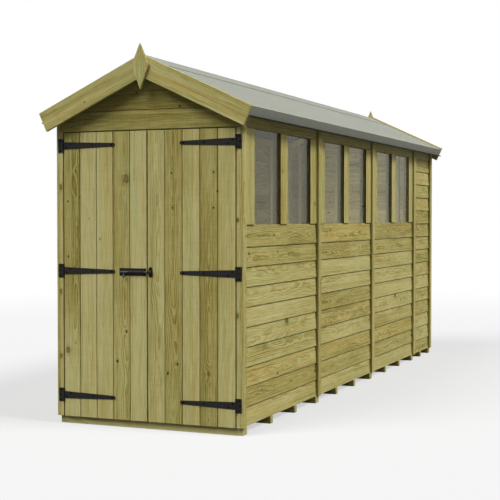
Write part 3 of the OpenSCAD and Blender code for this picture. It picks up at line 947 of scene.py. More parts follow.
# The boards that no table gives: their tones and figures, the lengths that each is divided into, the share
# of these with a knot, the share past which the rest have an eye of the figure, and the radii of both
OTHER_TONES, OTHER_FIGURES = (0.32, 0.86), (0.3, 0.7)
BOARD_LENGTHS = 4
KNOT_SHARE, EYES_PAST = 0.4, 0.75
KNOT_RADII, EYE_RADII = (0.004, 0.007), (0.008, 0.018)


def board_knots(chance, length):
    """Small knots and eyes of the figure for a board, one in some of its lengths."""
    part = length / BOARD_LENGTHS
    knots = []
    for k in range(BOARD_LENGTHS):
        kind = chance.random()
        is_knot = kind < KNOT_SHARE
        radius = chance.uniform(*KNOT_RADII) if is_knot else -chance.uniform(*EYE_RADII)
        along = (k + 0.5 - BOARD_LENGTHS / 2 + chance.uniform(-0.25, 0.25)) * part
        across = chance.uniform(-0.04, 0.04)
        knots.append((along, across, radius if is_knot or kind > EYES_PAST else 0))
    return knots


# For each board of a panel of the right wall, from the ground up: its tone, its figure, how warm it is,
# and its knots as the place behind the panel's near end, the height in the board and the radius, which
# is below nought for an eye of the figure
END_PANEL = (
    (0.75, 0.62, 0.4, ()),
    (0.3, 0.5, 0.4, ((0.746, 0.054, 0.006), (1.188, 0.057, 0.0065))),
    (0.5, 0.46, 0.8, ((0.18, 0.03, -0.012), (0.514, 0.019, 0.008))),
    (0.6, 0.6, 0.3, ()),
    (0.8, 0.5, 0.4, ((0.36, 0.05, -0.02), (0.679, 0.096, 0.0185), (0.97, 0.06, -0.016))),
    (0.78, 0.68, 0.4, ()),
    (0.72, 0.56, 0.5, ((0.19, 0.07, -0.013), (0.449, 0.073, -0.013), (1.067, 0.053, -0.008))),
    (0.75, 0.56, 0.5, ((0.232, 0.058, -0.013), (0.494, 0.053, -0.013), (1.078, 0.037, -0.008))),
    (0.36, 0.5, 0.45, ((0.084, 0.072, 0.007), (0.523, 0.073, 0.0055), (0.85, 0.04, -0.02))),
    (0.3, 0.5, 0.5, ((0.461, 0.06, 0.006), (0.9, 0.03, -0.02))))
MIDDLE_PANEL = (
    (0.78, 0.6, 0.4, ()),
    (0.45, 0.5, 0.3, ((0.3, 0.05, -0.014),)),
    (0.55, 0.45, 0.8, ((0.62, 0.08, -0.01),)),
    (0.8, 0.52, 0.45, ((0.9, 0.05, -0.012),)),
    (0.3, 0.48, 0.72, ((0.275, 0.016, 0.006), (0.8, 0.05, -0.014))),
    (0.24, 0.5, 0.3, ((0.5, 0.05, -0.014),)),
    (0.72, 0.55, 0.4, ((0.215, 0.068, -0.012), (0.337, 0.068, -0.01))),
    (0.8, 0.68, 0.4, ()),
    (0.45, 0.5, 0.3, ((0.518, 0.073, 0.005), (0.9, 0.05, -0.013))),
    (0.5, 0.5, 0.85, ((0.186, 0.049, -0.012), (0.271, 0.079, 0.006), (0.75, 0.045, -0.012))))
LAST_PANEL = (
    (0.5, 0.5, 0.6, ((0.2, 0.05, -0.02),)),
    (0.82, 0.5, 0.45, ((0.3, 0.06, -0.018),)),
    (0.84, 0.46, 0.4, ((0.15, 0.05, -0.02), (0.45, 0.06, 0.008))),
    (0.3, 0.5, 0.5, ((0.3, 0.03, -0.018),)),
    (0.6, 0.5, 0.6, ((0.25, 0.06, -0.024),)),
    (0.86, 0.5, 0.3, ((0.12, 0.06, -0.022), (0.4, 0.09, 0.007))),
    (0.5, 0.5, 0.4, ((0.3, 0.05, -0.02),)),
    (0.25, 0.5, 0.3, ((0.2, 0.05, -0.018),)),
    (0.6, 0.5, 0.45, ((0.3, 0.06, -0.022),)),
    (0.4, 0.5, 0.5, ((0.15, 0.06, -0.02),)))
BOARD_TABLES = {"right_cladding_1": END_PANEL, "right_cladding_2": MIDDLE_PANEL,
                "right_cladding_3": END_PANEL, "right_cladding_4": LAST_PANEL}
# The least height that a course shows, and how near a wall comes to the roof when the roof cuts it
LEAST_SHOWN = 0.001
ROOF_NEAR = 0.02


def lapped_wall(name, node, outward):
    """A run of overlap boards in the room of a frame node."""
    s = sizes()
    low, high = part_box(node)
    chance = random.Random(node)
    axis, run = (0, BACK) if abs(outward.x) > 0.5 else (1, RIGHT)
    length = (high - low).dot(run)
    near = low.dot(run)
    face_low, face_high = low.copy(), high.copy()
    if outward[axis] > 0:
        face_low[axis] = high[axis] - s.thick
    else:
        face_high[axis] = low[axis] + s.thick
    boards = []
    models = {}
    foot = low.z
    table = BOARD_TABLES.get(node, ())
    while foot < high.z - s.lap - LEAST_SHOWN:
        shown = s.shown if boards else s.first_shown
        if shown not in models:
            corner = Vector((face_low.x, face_low.y, foot))
            top = Vector((face_high.x, face_high.y, foot + shown + s.lap))
            models[shown] = (lapped_board("course", corner, top, outward, s.ease), foot)
        model, made_at = models[shown]
        board = twin(model, f"course_{len(boards)}", (0, 0, foot - made_at))
        if len(boards) < len(table):
            tone, figure, warmth, knots = table[len(boards)]
            look = (tone, board_seed(chance, warmth), figure)
            middle = (shown + s.lap) / 2
            knots = [(behind - length / 2, middle - height, radius) for behind, height, radius in knots]
        else:
            look = random_board(chance, OTHER_TONES, OTHER_FIGURES)
            knots = board_knots(chance, length)
        cuts = halfway([knot[0] + near + length / 2 for knot in knots])
        cut_across(board, 1 - axis, cuts)
        lay_grain(board, run, outward, look, knots)
        boards.append(board)
        foot += shown
    for model, _ in models.values():
        bpy.data.objects.remove(model)
    wall = joined(name, boards)
    if high.z > roof_height(GABLE_HIGH.x) - ROOF_NEAR:
        under_roof_cut(wall)
    return hand_over(wall, node, boards_wood())


class SHED_OT_overlap_cladding(bpy.types.Operator):
    """Builds the overlap boards of the two long walls and of the back"""

    bl_idname = "shed.overlap_cladding"
    bl_label = "Overlap cladding"

    def execute(self, context):
        for panel in PANELS:
            lapped_wall(f"left_boards_{panel}", f"left_cladding_{panel}", -RIGHT)
            lapped_wall(f"right_boards_{panel}", f"right_cladding_{panel}", RIGHT)
        lapped_wall("back_boards", "back_cladding", BACK)
        return {"FINISHED"}


# Flat boards with V grooves

# The slot between two flat boards, the depth from the face at which the tongue fills it, and the rounding
# of a door's boards
SLOT = 0.0024
TONGUE = 0.004
DOOR_EASE = 0.0005


def grooved_board(name, low, high, axis, out):
    """A tongued board: its face narrows to a V groove at each joint, over a slot that ends at the tongue."""
    low, high = Vector(low), Vector(high)
    middle = (low + high) / 2
    step = axis_vector(axis) * SLOT / 2
    face_low, face_high, back_low, back_high = low + step, high - step, low.copy(), high.copy()
    for k in range(3):
        if out[k] < 0:
            face_high[k] = back_low[k] = high[k] - TONGUE
        elif out[k] > 0:
            face_low[k] = back_high[k] = low[k] + TONGUE

    def on_joint(edge):
        """Whether an edge runs along a joint, on the face."""
        a, b = (vertex.co for vertex in edge.verts)
        place = (a + b) / 2 - middle
        return place.dot(out) > TONGUE and abs(place[axis]) > 0.001 and abs((a - b)[axis]) < 1e-6

    face = block(name, face_low, face_high)
    select_in(face, on_joint)
    bpy.ops.mesh.bevel(offset=sizes().groove / 2, segments=1, affect="EDGES")
    end_edit()
    return joined(name, [face, block("tongue", back_low, back_high)])


# For each door board from the left to the right: its tone, its figure, its knots by height and place
# across from the board's middle, with their radius, and for one the tone of its paler foot
DOOR_BOARDS = {
    "left": ((0.2, 0.42, ((1.42, 0.028, 0.004), (1.245, -0.026, 0.004), (0.925, -0.024, 0.005),
                          (0.385, -0.027, 0.013)), 0.95),
             (0.87, 0.06, ()),
             (0.87, 0.93, ()),
             (0.5, 0.46, ((1.37, 0.032, 0.015), (1.24, -0.005, -0.014), (0.505, 0.031, 0.006),
                          (0.335, -0.028, 0.006))),
             (0.94, 0.05, ())),
    "right": ((0.84, 0.5, ((1.25, 0.01, -0.01),)),
              (0.26, 0.5, ((1.40, -0.011, 0.004), (1.33, 0.004, -0.015), (1.205, -0.008, 0.004),
                           (0.335, 0.024, 0.005), (0.28, -0.036, 0.006))),
              (0.78, 0.08, ()),
              (0.2, 0.47, ((1.40, 0.03, 0.005), (1.205, 0.029, 0.004), (0.29, -0.002, 0.008))),
              (0.76, 0.9, ()))}
# The heights up the door between which the paler foot passes into the board's own tone
PALE_FOOT = (0.4, 0.8)


def door_leaf(side):
    """The boards of one door."""
    node = f"door_{side}_boards"
    low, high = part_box(node)
    rows = DOOR_BOARDS[side]
    chance = random.Random(node)
    width = (high.x - low.x) / len(rows)
    model = grooved_board("leaf_board", low, (low.x + width, high.y, high.z), 0, -BACK)
    boards = []
    half = (high.z - low.z) / 2
    for k, (tone, figure, knots, *foot) in enumerate(rows):
        board = twin(model, f"leaf_board_{k}", (k * width, 0, 0))
        cut_across(board, 2, halfway(sorted(low.z + knot[0] for knot in knots)))
        if foot:
            cut_across(board, 2, [low.z + height for height in PALE_FOOT])
        knots = [(height - half, across, radius) for height, across, radius in knots]
        look = (tone, board_seed(chance, chance.uniform(0.35, 0.6)), figure)
        lay_grain(board, UP, -BACK, look, knots)
        if foot:
            share = np.interp(points_of(board.data)[:, 2] - low.z, PALE_FOOT, (foot[0] - tone, 0.0))
            store(board.data, "paler", share[:, None] * np.array((1.0, 0.0, 0.0)))
        boards.append(board)
    bpy.data.objects.remove(model)
    leaf = soften(joined(f"door_{side}_leaf", boards), DOOR_EASE)
    return hand_over(leaf, node, boards_wood())


class SHED_OT_doors(bpy.types.Operator):
    """Builds the two boarded doors with the ledges and braces on their backs"""

    bl_idname = "shed.doors"
    bl_label = "Doors"

    def execute(self, context):
        for side, _ in SIDES:
            door_leaf(side)
            dressed_timbers(f"door_{side}_ledges", wood=frame_wood)
        return {"FINISHED"}


# The two flat boards over the doors from below: tone, figure and knots, each along the board, across it
# and with its radius. The upper board's tone, below nought, is its own dark wood and painted shade under
# the bargeboards
GABLE_BOARDS = (
    (0.1, 0.2, ()),
    (-0.1, 0.5, ((-0.065, 0.045, 0.0055), (0.06, 0.08, -0.026), (0.205, 0.13, 0.0065))))


class SHED_OT_door_gable(bpy.types.Operator):
    """Builds the flat boards over and beside the doors"""

    bl_idname = "shed.door_gable"
    bl_label = "Door gable"

    def execute(self, context):
        chance = random.Random("gable")
        boards = []
        joint = GABLE_LOW.z + sizes().gable_shown
        feet = (GABLE_LOW.z, joint, GABLE_HIGH.z)
        for foot, top, (tone, figure, knots) in zip(feet, feet[1:], GABLE_BOARDS):
            board = grooved_board("gable_board", (*GABLE_LOW.xy, foot), (*GABLE_HIGH.xy, top), 2, -BACK)
            cut_across(board, 0, halfway([knot[0] for knot in knots]))
            boards.append(lay_grain(board, RIGHT, -BACK, (tone, board_seed(chance, 0.1), figure), knots))
        gable = under_roof_cut(joined("gable_boards", boards))
        hand_over(gable, "front_gable_boards", boards_wood())
        dressed_timbers("front_face_boards", tones=(0.52, 0.7), figures=(0.68, 0.85))
        return {"FINISHED"}


# How far the back bargeboards are lifted over their solids, so that they show past the felt from the front
BACK_BARGE_RISE = 0.013
# The rounding of the cover strips, and of the bargeboards and finials
STRIP_EASE, BARGE_EASE = 0.0012, 0.0015


class SHED_OT_trim(bpy.types.Operator):
    """Builds the corner and joint strips, the boards round the panes, the bargeboards and the finials"""

    bl_idname = "shed.trim"
    bl_label = "Trim"

    def execute(self, context):
        for node in ("left_cover_strips", "right_cover_strips"):
            dressed_timbers(node, STRIP_EASE, tones=(0.45, 0.8))
        for panel in WINDOW_PANELS:
            dressed_timbers(f"window_surround_{panel}", tones=(0.55, 0.8), figures=(0.63, 0.85))
        dressed_timbers("bargeboards_front", BARGE_EASE, tones=(0.6, 0.78), figures=(0.66, 0.8))
        back = dressed_timbers("bargeboards_back", BARGE_EASE, tones=(0.5, 0.7))
        back.data.transform(Matrix.Translation((0, 0, BACK_BARGE_RISE)))
        dressed_timbers("finials", BARGE_EASE, along=UP, tones=(0.6, 0.8))
        return {"FINISHED"}


class SHED_OT_framing(bpy.types.Operator):
    """Builds the bearers and the timber frames of the walls and the roof"""

    bl_idname = "shed.framing"
    bl_label = "Framing"

    def execute(self, context):
        for node in ("floor_bearers", "front_frame", "back_frame", "left_frame", "right_frame",
                     "roof_trusses", "eaves_battens"):
            dressed_timbers(node, wood=frame_wood)
        return {"FINISHED"}


class SHED_OT_floor_boards(bpy.types.Operator):
    """Builds the floor boards over the bearers"""

    bl_idname = "shed.floor_boards"
    bl_label = "Floor boards"

    def execute(self, context):
        low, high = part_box("floor_deck")
        chance = random.Random("deck")
        across = math.ceil((high.x - low.x) / sizes().deck_board)
        width = (high.x - low.x) / across
        gap = 0.0004
        sections = 4
        length = (high.y - low.y) / sections
        model = grooved_board("deck_board", (low.x + gap, low.y + gap, low.z),
                              (low.x + width - gap, low.y + length - gap, high.z), 0, UP)
        boards = []
        for section in range(sections):
            for k in range(across):
                board = twin(model, "deck_board_copy", (k * width, section * length, 0))
                boards.append(lay_grain(board, BACK, UP, random_board(chance)))
        bpy.data.objects.remove(model)
        hand_over(joined("floor_boards", boards), "floor_deck", frame_wood())
        return {"FINISHED"}


# Roof

# The rounding of the sheets, of the felt on a slope and of the ridge strip, and the angle past which the
# felt shades as an edge, in degrees
SHEET_EASE, FELT_EASE, RIDGE_EASE = 0.0006, 0.0012, 0.0004
FELT_SMOOTH = 5
# A black strip under the eaves, painted shade under the felt's lower edge next to the wall: its width and
# depth, and how far it keeps from the felt's side, its ends and its underside
EAVES_SHADE_WIDTH, EAVES_SHADE_DEPTH = 0.0184, 0.0053
EAVES_SHADE_IN, EAVES_SHADE_SHORT, EAVES_SHADE_UNDER = 0.0006, 0.001, 0.0002
# A thin black strip along the ridge strip's edge, the painted shadow of that edge on the felt: its width,
# its height over the felt and its depth into it, and how far it keeps from the felt's ends
RIDGE_SHADOW_WIDTH, RIDGE_SHADOW_HEIGHT, RIDGE_SHADOW_DEPTH, RIDGE_SHADOW_SHORT = 0.0065, 0.0007, 0.0002, 0.004


def painted_eaves_shade(side, sign):
    """A black strip under one eaves: painted shade under the felt's edge."""
    low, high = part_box(f"roof_felt_{side}")
    outer = outer_x(low, high, sign) - sign * EAVES_SHADE_IN
    inner = outer - sign * EAVES_SHADE_WIDTH
    top = low.z - EAVES_SHADE_UNDER
    return block("turn", (min(inner, outer), low.y + EAVES_SHADE_SHORT, top - EAVES_SHADE_DEPTH),
                 (max(inner, outer), high.y - EAVES_SHADE_SHORT, top))


def painted_ridge_shadow(side, sign):
    """A thin black strip along one edge of the ridge strip: the painted shadow of that edge."""
    slope = sizes().pitch
    low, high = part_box(f"roof_felt_{side}")
    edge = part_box("ridge_felt")[1].x
    points = points_of(frame["nodes"][f"roof_felt_{side}"].data)
    out_of_felt = (points[:, 2] * math.cos(slope) + sign * points[:, 0] * math.sin(slope)).max()
    height = (out_of_felt - edge * math.sin(slope)) / math.cos(slope)
    bead = block("bead", (0, low.y + RIDGE_SHADOW_SHORT, -RIDGE_SHADOW_DEPTH),
                 (RIDGE_SHADOW_WIDTH, high.y - RIDGE_SHADOW_SHORT, RIDGE_SHADOW_HEIGHT))
    place = Matrix.Translation((edge, 0, height)) @ Matrix.Rotation(slope, 4, "Y")
    if sign < 0:
        place = Matrix.Translation((0, low.y + high.y, 0)) @ Matrix.Rotation(math.pi, 4, "Z") @ place
    bead.data.transform(place)
    return bead


class SHED_OT_roof(bpy.types.Operator):
    """Covers the roof: sheets, felt on each slope and the strip over the ridge"""

    bl_idname = "shed.roof"
    bl_label = "Roof"

    def execute(self, context):
        # the black finish is for the strips of painted shade under the eaves and painted shadow along the
        # ridge strip
        felt, sheet, bitumen = felt_finish(), sheet_finish(), black_shade_finish()
        for side, sign in SIDES:
            piece = copy_of_node(f"roof_boards_{side}", f"roof_sheet_{side}")
            hand_over(soften(piece, SHEET_EASE), f"roof_boards_{side}", sheet)
            piece = copy_of_node(f"roof_felt_{side}", f"felt_slope_{side}")
            piece = soften(piece, FELT_EASE, 3)
            hand_over(piece, f"roof_felt_{side}", felt, smooth=FELT_SMOOTH)
        piece = soften(copy_of_node("ridge_felt", "felt_over_ridge"), RIDGE_EASE, 1, 20)
        hand_over(piece, "ridge_felt", felt, smooth=FELT_SMOOTH)
        # black strips of painted shade under the eaves, and of painted shadow along the ridge strip's edges
        turns = [painted_eaves_shade(side, sign) for side, sign in SIDES]
        hand_over(joined("felt_turned_in", turns), None, bitumen, "root")
        ridge_shadows = [painted_ridge_shadow(side, sign) for side, sign in SIDES]
        hand_over(joined("ridge_bitumen", ridge_shadows), None, bitumen, "root")
        return {"FINISHED"}


# Panes

# How far the strips of painted shade in the reveals stay off the pane, and back from the face of the boards
# round it
REVEAL_SHADE_OFF, REVEAL_SHADE_BACK = 0.0002, 0.0012


class SHED_OT_panes(bpy.types.Operator):
    """Gives the panes their glass, and dark strips of painted shade in the reveals round their edges"""

    bl_idname = "shed.panes"
    bl_label = "Panes"

    def execute(self, context):
        s = sizes()
        glass = pane_finish()
        tape = reveal_shade_finish()
        for panel in WINDOW_PANELS:
            node = frame["nodes"][f"window_panes_{panel}"]
            node.data.materials.clear()
            node.data.materials.append(glass)
            places = points_of(node.data)[:, 1]
            low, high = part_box(f"window_panes_{panel}")
            middle = (low.y + high.y) / 2
            inner = high.x + REVEAL_SHADE_OFF
            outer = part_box(f"window_surround_{panel}")[1].x - REVEAL_SHADE_BACK
            # dark strips down each pane's jambs and under its head: painted shade in the reveals
            reveal_shades = []
            for pane in (places[places < middle], places[places > middle]):
                near, far = pane.min(), pane.max()
                for y in (near, far - s.tape):
                    reveal_shades.append(block("tape", (inner, y, low.z), (outer, y + s.tape, high.z)))
                reveal_shades.append(block("tape", (inner, near + s.tape, high.z - s.tape),
                                   (outer, far - s.tape, high.z)))
            hand_over(joined(f"window_tape_{panel}", reveal_shades), None, tape, "root")
        return {"FINISHED"}


# Ironwork

# The rounding of the iron, a screw head's height, its rounding and how far it sinks in, and its slots: half
# their width, the height of their floor and their reach as a share of the head's radius
IRON_EASE = 0.0005
SCREW_HIGH, SCREW_EASE, SCREW_SUNK = 0.0016, 0.0006, 0.0004
SLOT_HALF, SLOT_FLOOR, SLOT_REACH = 0.0006, 0.0009, 0.62
# The hinges: the radius of the knuckles, and the screws of a strap and of a plate, each by its distance
# from the pin and its height over the strap's middle, or under it for a strap of the left door
KNUCKLE = 0.0045
# How far past the knuckle and past the pin a strap and a plate lie flat
STRAP_FLAT, PLATE_FLAT = 0.06, 0.012
STRAP_SCREWS = ((0.020, 0.0095), (0.046, -0.0095), (0.193, 0.0), (0.318, 0.0))
PLATE_SCREWS = ((0.019, -0.028), (0.024, 0.0), (0.019, 0.028))
# The bolt: the size of its screws as a share of the hinges', how far before the plate's back they start,
# how far they lie from its ends, and their heights over and under the middle of plate and keeper
BOLT_SCREW = 0.85
BOLT_FACE = 0.0025
BOLT_NEAR, BOLT_FAR, BOLT_RISE, KEEPER_RISE = 0.007, 0.008, 0.0155, 0.0195


def ironwork(node, name, material=None):
    """A frame node of iron with its edges rounded."""
    piece = soften(copy_of_node(node, name), IRON_EASE, 2)
    return hand_over(piece, node, material or black_iron())


def disc(radius, depth, sides, middle):
    """A flat round blank whose axis runs along y, with its middle at a place on that axis."""
    clear_selection()
    bpy.ops.mesh.primitive_cylinder_add(vertices=sides, radius=radius, depth=depth,
                                        rotation=(math.pi / 2, 0, 0), location=(0, middle, 0))
    bpy.ops.object.transform_apply(location=True, rotation=True, scale=True)
    return bpy.context.object


def screw_model(radius):
    """A round screw head with a cross cut, its back at the origin and its face along -Y."""
    head = soften(disc(radius, SCREW_HIGH, 20, -SCREW_HIGH / 2), SCREW_EASE, 2)
    reach = radius * SLOT_REACH
    for turn in (0, 1):
        slot = block("cut", (-reach, -2 * SCREW_HIGH, -SLOT_HALF), (reach, -SLOT_FLOOR, SLOT_HALF))
        slot.data.transform(Matrix.Rotation(turn * math.pi / 2 + 0.4, 4, "Y"))
        modified(head, "BOOLEAN", object=slot, operation="DIFFERENCE")
        bpy.data.objects.remove(slot)
    return head


def fixings(name, model, places, body, material):
    """Copies of a nail or screw at their places, as one piece."""
    copies = []
    for k, (point, turn) in enumerate(places):
        copy = twin(model, f"{name}_{k}")
        copy.data.transform(Matrix.Translation(point) @ turn)
        copies.append(copy)
    return hand_over(joined(name, copies), None, material, body)


def screw_place(chance, x, y, z):
    """Where a screw sits on a door or a post, turned by chance about its own axis."""
    return Vector((x, y, z)), Matrix.Rotation(chance.uniform(0, math.pi / 2), 4, "Y")


def front_of(points):
    """Where a screw's back lies on the foremost of some points."""
    return points[:, 1].min() + SCREW_SUNK


class SHED_OT_hinges(bpy.types.Operator):
    """Rounds the six T hinges and screws them on"""

    bl_idname = "shed.hinges"
    bl_label = "Hinges"

    def execute(self, context):
        ironwork("hinge_plates", "hinge_plates_iron")
        chance = random.Random("hinges")
        model = screw_model(sizes().screw / 2)
        plates = []
        plate_points = points_of(frame["nodes"]["hinge_plates"].data)
        for side, sign in SIDES:
            node = f"door_{side}_straps"
            ironwork(node, f"hinge_straps_{side}")
            knuckle = outer_x(*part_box(node), sign)
            pin = knuckle - sign * KNUCKLE
            points = points_of(frame["nodes"][node].data)
            from_knuckle = np.abs(points[:, 0] - knuckle)
            strap_y = front_of(points[from_knuckle > STRAP_FLAT])
            plate_y = front_of(plate_points[np.abs(plate_points[:, 0]) > abs(pin) + PLATE_FLAT])

            # each hinge has one strap knuckle, so the ends of these come in pairs
            ends = sorted(set(np.round(points[from_knuckle < 0.002, 2], 4)))
            straps = []
            for z in halfway(ends)[::2]:
                for out, rise in STRAP_SCREWS:
                    straps.append(screw_place(chance, pin - sign * out, strap_y, z + sign * rise))
                for out, rise in PLATE_SCREWS:
                    plates.append(screw_place(chance, pin + sign * out, plate_y, z + rise))
            fixings(f"strap_screws_{side}", model, straps, f"door_{side}", black_screw())
        fixings("plate_screws", model, plates, "root", black_screw())
        bpy.data.objects.remove(model)
        return {"FINISHED"}


class SHED_OT_bolt(bpy.types.Operator):
    """Rounds the sliding bolt and its keeper and screws them on"""

    bl_idname = "shed.bolt"
    bl_label = "Bolt"

    def execute(self, context):
        ironwork("bolt_plate", "bolt_plate_iron")
        ironwork("bolt_bar", "bolt_bar_iron", bar_finish())
        ironwork("bolt_keeper", "bolt_keeper_iron")
        chance = random.Random("bolt")
        model = screw_model(sizes().screw / 2 * BOLT_SCREW)
        low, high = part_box("bolt_plate")
        middle_z = (low.z + high.z) / 2
        y = high.y - BOLT_FACE
        places = [screw_place(chance, x, y, middle_z + rise)
                  for x in (low.x + BOLT_NEAR, (low.x + high.x) / 2, high.x - BOLT_FAR)
                  for rise in (-BOLT_RISE, BOLT_RISE)]
        fixings("bolt_screws", model, places, "door_left", black_screw())
        low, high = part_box("bolt_keeper")
        places = [screw_place(chance, (low.x + high.x) / 2, y, middle_z + rise)
                  for rise in (-KEEPER_RISE, KEEPER_RISE)]
        fixings("keeper_screws", model, places, "door_right", black_screw())
        bpy.data.objects.remove(model)
        return {"FINISHED"}


# Nails

# A nail's height over the foot of its course, the thickness of its head, how far the head's middle stands
# out of the board, and the most that a nail lies off its line
NAIL_UP = 0.024
NAIL_HIGH = 0.0008
NAIL_PROUD = 0.0003
NAIL_OFF = 0.004
# The room that a nailed course has over its foot, up to the wall's top and up to the roof
NAIL_UNDER_TOP = 0.06
NAIL_UNDER_ROOF = 0.07
# Where the studs stand: along a long panel and along the short one, as shares of it, and across the back
STUDS = (0.03, 0.36, 0.66, 0.97)
SHORT_STUDS = (0.06, 0.5, 0.92)
BACK_STUDS = (-0.555, -0.285, 0.0, 0.285, 0.555)


def course_feet(low, high):
    """The heights at which the nailed courses of a wall start."""
    foot = low.z
    shown = sizes().first_shown
    while foot < high.z - NAIL_UNDER_TOP:
        yield foot
        foot += shown
        shown = sizes().shown


class SHED_OT_nails(bpy.types.Operator):
    """Nails the boards to the frames behind them"""

    bl_idname = "shed.nails"
    bl_label = "Nails"

    def execute(self, context):
        s = sizes()
        model = disc(s.nail / 2, NAIL_HIGH, 8, 0)
        chance = random.Random("nails")
        zinc = zinc_finish()
        rise = s.thick / (s.shown + s.lap)
        lean = Matrix.Rotation(math.atan(rise), 4, "X")
        inset = NAIL_UP * rise - NAIL_PROUD

        def jitter():
            """How far a nail lies off its line."""
            return chance.uniform(-NAIL_OFF, NAIL_OFF)

        for side, sign in SIDES:
            places = []
            turn = Matrix.Rotation(sign * math.pi / 2, 4, "Z") @ lean
            for panel in PANELS:
                low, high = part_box(f"{side}_cladding_{panel}")
                x = outer_x(low, high, sign) - sign * inset
                for foot in course_feet(low, high):
                    for share in (STUDS if panel < PANELS[-1] else SHORT_STUDS):
                        y = low.y + (high.y - low.y) * share + jitter()
                        places.append((Vector((x, y, foot + NAIL_UP + jitter() * 0.5)), turn))
            fixings(f"{side}_wall_nails", model, places, "root", zinc)
        low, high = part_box("back_cladding")
        turn = Matrix.Rotation(math.pi, 4, "Z") @ lean
        places = [(Vector((x + jitter(), high.y - inset, foot + NAIL_UP)), turn)
                  for foot in course_feet(low, high) for x in BACK_STUDS
                  if foot + NAIL_UNDER_ROOF < roof_height(x)]
        fixings("back_wall_nails", model, places, "root", zinc)
        bpy.data.objects.remove(model)
        return {"FINISHED"}


# Stage

# The camera: its place, its turn to the left, its tilt, and its lens in millimetres
CAMERA_PLACE = (3.0201, -7.9609, 1.1961)
CAMERA_TURN = math.radians(22.421)
CAMERA_TILT = math.radians(-1.609)
CAMERA_LENS = 83.56
# The far lamps: where the light of each comes from, and how wide each looks
KEY_FROM, KEY_ANGLE = (-3.3, -5.8, 7.6), math.radians(34)
SIDE_FROM, SIDE_ANGLE = (6.3, 0.1, 7.6), math.radians(20)
# The lamps in the room: their height over the ground and their own height, how far the long one stands
# from the floor's edge and how far behind the shed's middle, and the length and the spread of each
LAMP_UP, LAMP_TALL = 1.0, 1.4
LONG_LAMP_IN, LONG_LAMP_BACK = 0.05, 0.45
LONG_LAMP, LONG_SPREAD = 3.5, math.radians(180)
END_LAMP, END_SPREAD = 0.5, math.radians(36)
END_LAMP_FROM, END_LAMP_TO = (-0.15, -0.9), (-0.05, 2.0)
# The floor: its size, the distances from the shed between which it rises to white, and those between which
# it stops keeping the shadow
FLOOR_SIZE = 120
WHITE_FROM, WHITE_AT = 4.0, 10.0
SHADOW_FROM, SHADOW_END = 5.0, 12.0


def lamp(name, kind, place, target, energy):
    """A lamp that faces a point."""
    data = bpy.data.lights.new(name, kind)
    data.energy = energy
    holder = bpy.data.objects.new(name, data)
    bpy.context.scene.collection.objects.link(holder)
    holder.location = place
    holder.rotation_euler = (Vector(target) - Vector(place)).to_track_quat("-Z", "Y").to_euler()
    return holder


def room_lamp(name, place, target, energy, length, spread):
    """A soft lamp that stands upright in the room and isn't seen itself."""
    holder = lamp(name, "AREA", (*place, LAMP_UP), (*target, LAMP_UP), energy)
    holder.data.shape = "RECTANGLE"
    holder.data.size = length
    holder.data.size_y = LAMP_TALL
    holder.data.spread = spread
    holder.visible_camera = False
    holder.visible_glossy = False


def seen_directly(f):
    """1 for rays that show the background: from the camera, in a mirror or through a pane."""
    ray = f.add("ShaderNodeLightPath").outputs
    return f.most(ray["Is Camera Ray"], ray["Is Glossy Ray"], ray["Is Transmission Ray"])


def floor_finish():
    """Pale floor that keeps the shed's shadow and fades to white away from it."""
    stage = bpy.context.scene.shed_stage
    f = Finish(bpy.data.materials.new("studio_floor"))
    x, y = f.split(f.here())[0:2]
    away = f.math("SQRT", f.total(f.product(x, x), f.product(y, y)))
    seen = seen_directly(f)
    share = f.product(seen, f.step(away, SHADOW_FROM, SHADOW_END, 1.0 - stage.shadow, 1.0))
    shade = f.line(seen, stage.floor * 0.7, stage.floor * 0.3)
    matt = f.add("ShaderNodeBsdfDiffuse", {"Color": f.join(shade, shade, shade)}).outputs[0]
    white = f.step(away, WHITE_FROM, WHITE_AT, 0.94, 1.0)
    glow = f.add("ShaderNodeEmission", {"Color": (1, 1, 1, 1), "Strength": white}).outputs[0]
    return f.finish(f.add("ShaderNodeMixShader", {0: share, 1: matt, 2: glow}).outputs[0])


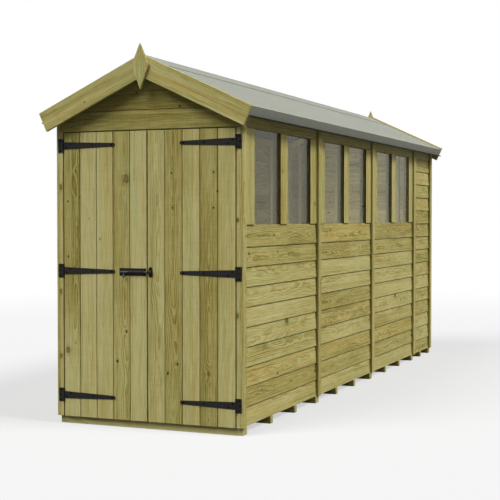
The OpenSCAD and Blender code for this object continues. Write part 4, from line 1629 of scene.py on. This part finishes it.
class SHED_OT_studio(bpy.types.Operator):
    """Sets the camera, the lamps and the pale floor"""

    bl_idname = "shed.studio"
    bl_label = "Studio"

    def execute(self, context):
        scene = context.scene
        stage = scene.shed_stage
        clear_selection()
        bpy.ops.mesh.primitive_grid_add(x_subdivisions=4, y_subdivisions=4, size=FLOOR_SIZE,
                                        location=(0, 0, 0))
        floor = bpy.context.object
        floor.name = "studio_floor"
        floor.data.materials.append(floor_finish())

        f = Finish(bpy.data.worlds.new("studio"))
        scene.world = f.owner
        strength = f.line(seen_directly(f), 1.0 - stage.sky, stage.sky)
        sky = f.add("ShaderNodeBackground", {"Color": (1, 1, 1, 1), "Strength": strength})
        f.add("ShaderNodeOutputWorld", {"Surface": sky.outputs[0]})

        key = lamp("key_lamp", "SUN", KEY_FROM, (0, 0, 0), stage.key)
        key.data.angle = KEY_ANGLE
        side = lamp("side_lamp", "SUN", SIDE_FROM, (0, 0, 0), stage.side)
        side.data.angle = SIDE_ANGLE

        # daylight in the room: a long lamp before the panes that faces the left wall, and a narrow beam
        # from behind the doors that faces the back gable
        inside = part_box("floor_deck")[1].x - LONG_LAMP_IN
        room_lamp("room_lamp", (inside, LONG_LAMP_BACK), (-inside, LONG_LAMP_BACK), stage.room,
                  LONG_LAMP, LONG_SPREAD)
        room_lamp("end_lamp", END_LAMP_FROM, END_LAMP_TO, stage.room * stage.end_share,
                  END_LAMP, END_SPREAD)

        camera = bpy.data.objects.new("camera", bpy.data.cameras.new("camera"))
        scene.collection.objects.link(camera)
        camera.location = CAMERA_PLACE
        camera.rotation_euler = (math.pi / 2 + CAMERA_TILT, 0, CAMERA_TURN)
        camera.data.lens = CAMERA_LENS
        camera.data.sensor_width = 36
        scene.camera = camera
        scene.view_settings.view_transform = "Standard"
        return {"FINISHED"}


class SHED_PT_finish(bpy.types.Panel):
    """Shows the shed's sizes, colours and stage settings, and a button for each building step, in the
    sidebar
    """

    bl_idname = "SHED_PT_finish"
    bl_label = "Garden shed"
    bl_space_type = "VIEW_3D"
    bl_region_type = "UI"
    bl_category = "Shed"

    def draw(self, context):
        for settings in GROUPS:
            group = getattr(context.scene, settings)
            box = self.layout.box()
            for name in group.__annotations__:
                box.prop(group, name)
        for operator in OPERATORS:
            self.layout.operator(operator.bl_idname)


GROUPS = {"shed_sizes": BoardSizes, "shed_colours": FinishColours, "shed_stage": StageSettings}
OPERATORS = (SHED_OT_overlap_cladding, SHED_OT_door_gable, SHED_OT_doors, SHED_OT_trim, SHED_OT_framing,
             SHED_OT_floor_boards, SHED_OT_roof, SHED_OT_panes, SHED_OT_hinges, SHED_OT_bolt,
             SHED_OT_nails, SHED_OT_studio)


def register():
    """Registers the classes and gives each scene its sizes, colours and stage settings."""
    for cls in (*GROUPS.values(), *OPERATORS, SHED_PT_finish):
        bpy.utils.register_class(cls)
    for name, group in GROUPS.items():
        setattr(bpy.types.Scene, name, bpy.props.PointerProperty(type=group))


def unregister():
    """Takes back what register has done."""
    for name in GROUPS:
        delattr(bpy.types.Scene, name)
    for cls in reversed((*GROUPS.values(), *OPERATORS, SHED_PT_finish)):
        bpy.utils.unregister_class(cls)


def main():
    register()
    bpy.ops.shed.overlap_cladding()
    bpy.ops.shed.door_gable()
    bpy.ops.shed.doors()
    bpy.ops.shed.trim()
    bpy.ops.shed.framing()
    bpy.ops.shed.floor_boards()
    bpy.ops.shed.roof()
    bpy.ops.shed.panes()
    bpy.ops.shed.hinges()
    bpy.ops.shed.bolt()
    bpy.ops.shed.nails()
    bpy.ops.shed.studio()


if __name__ == "__main__":
    main()
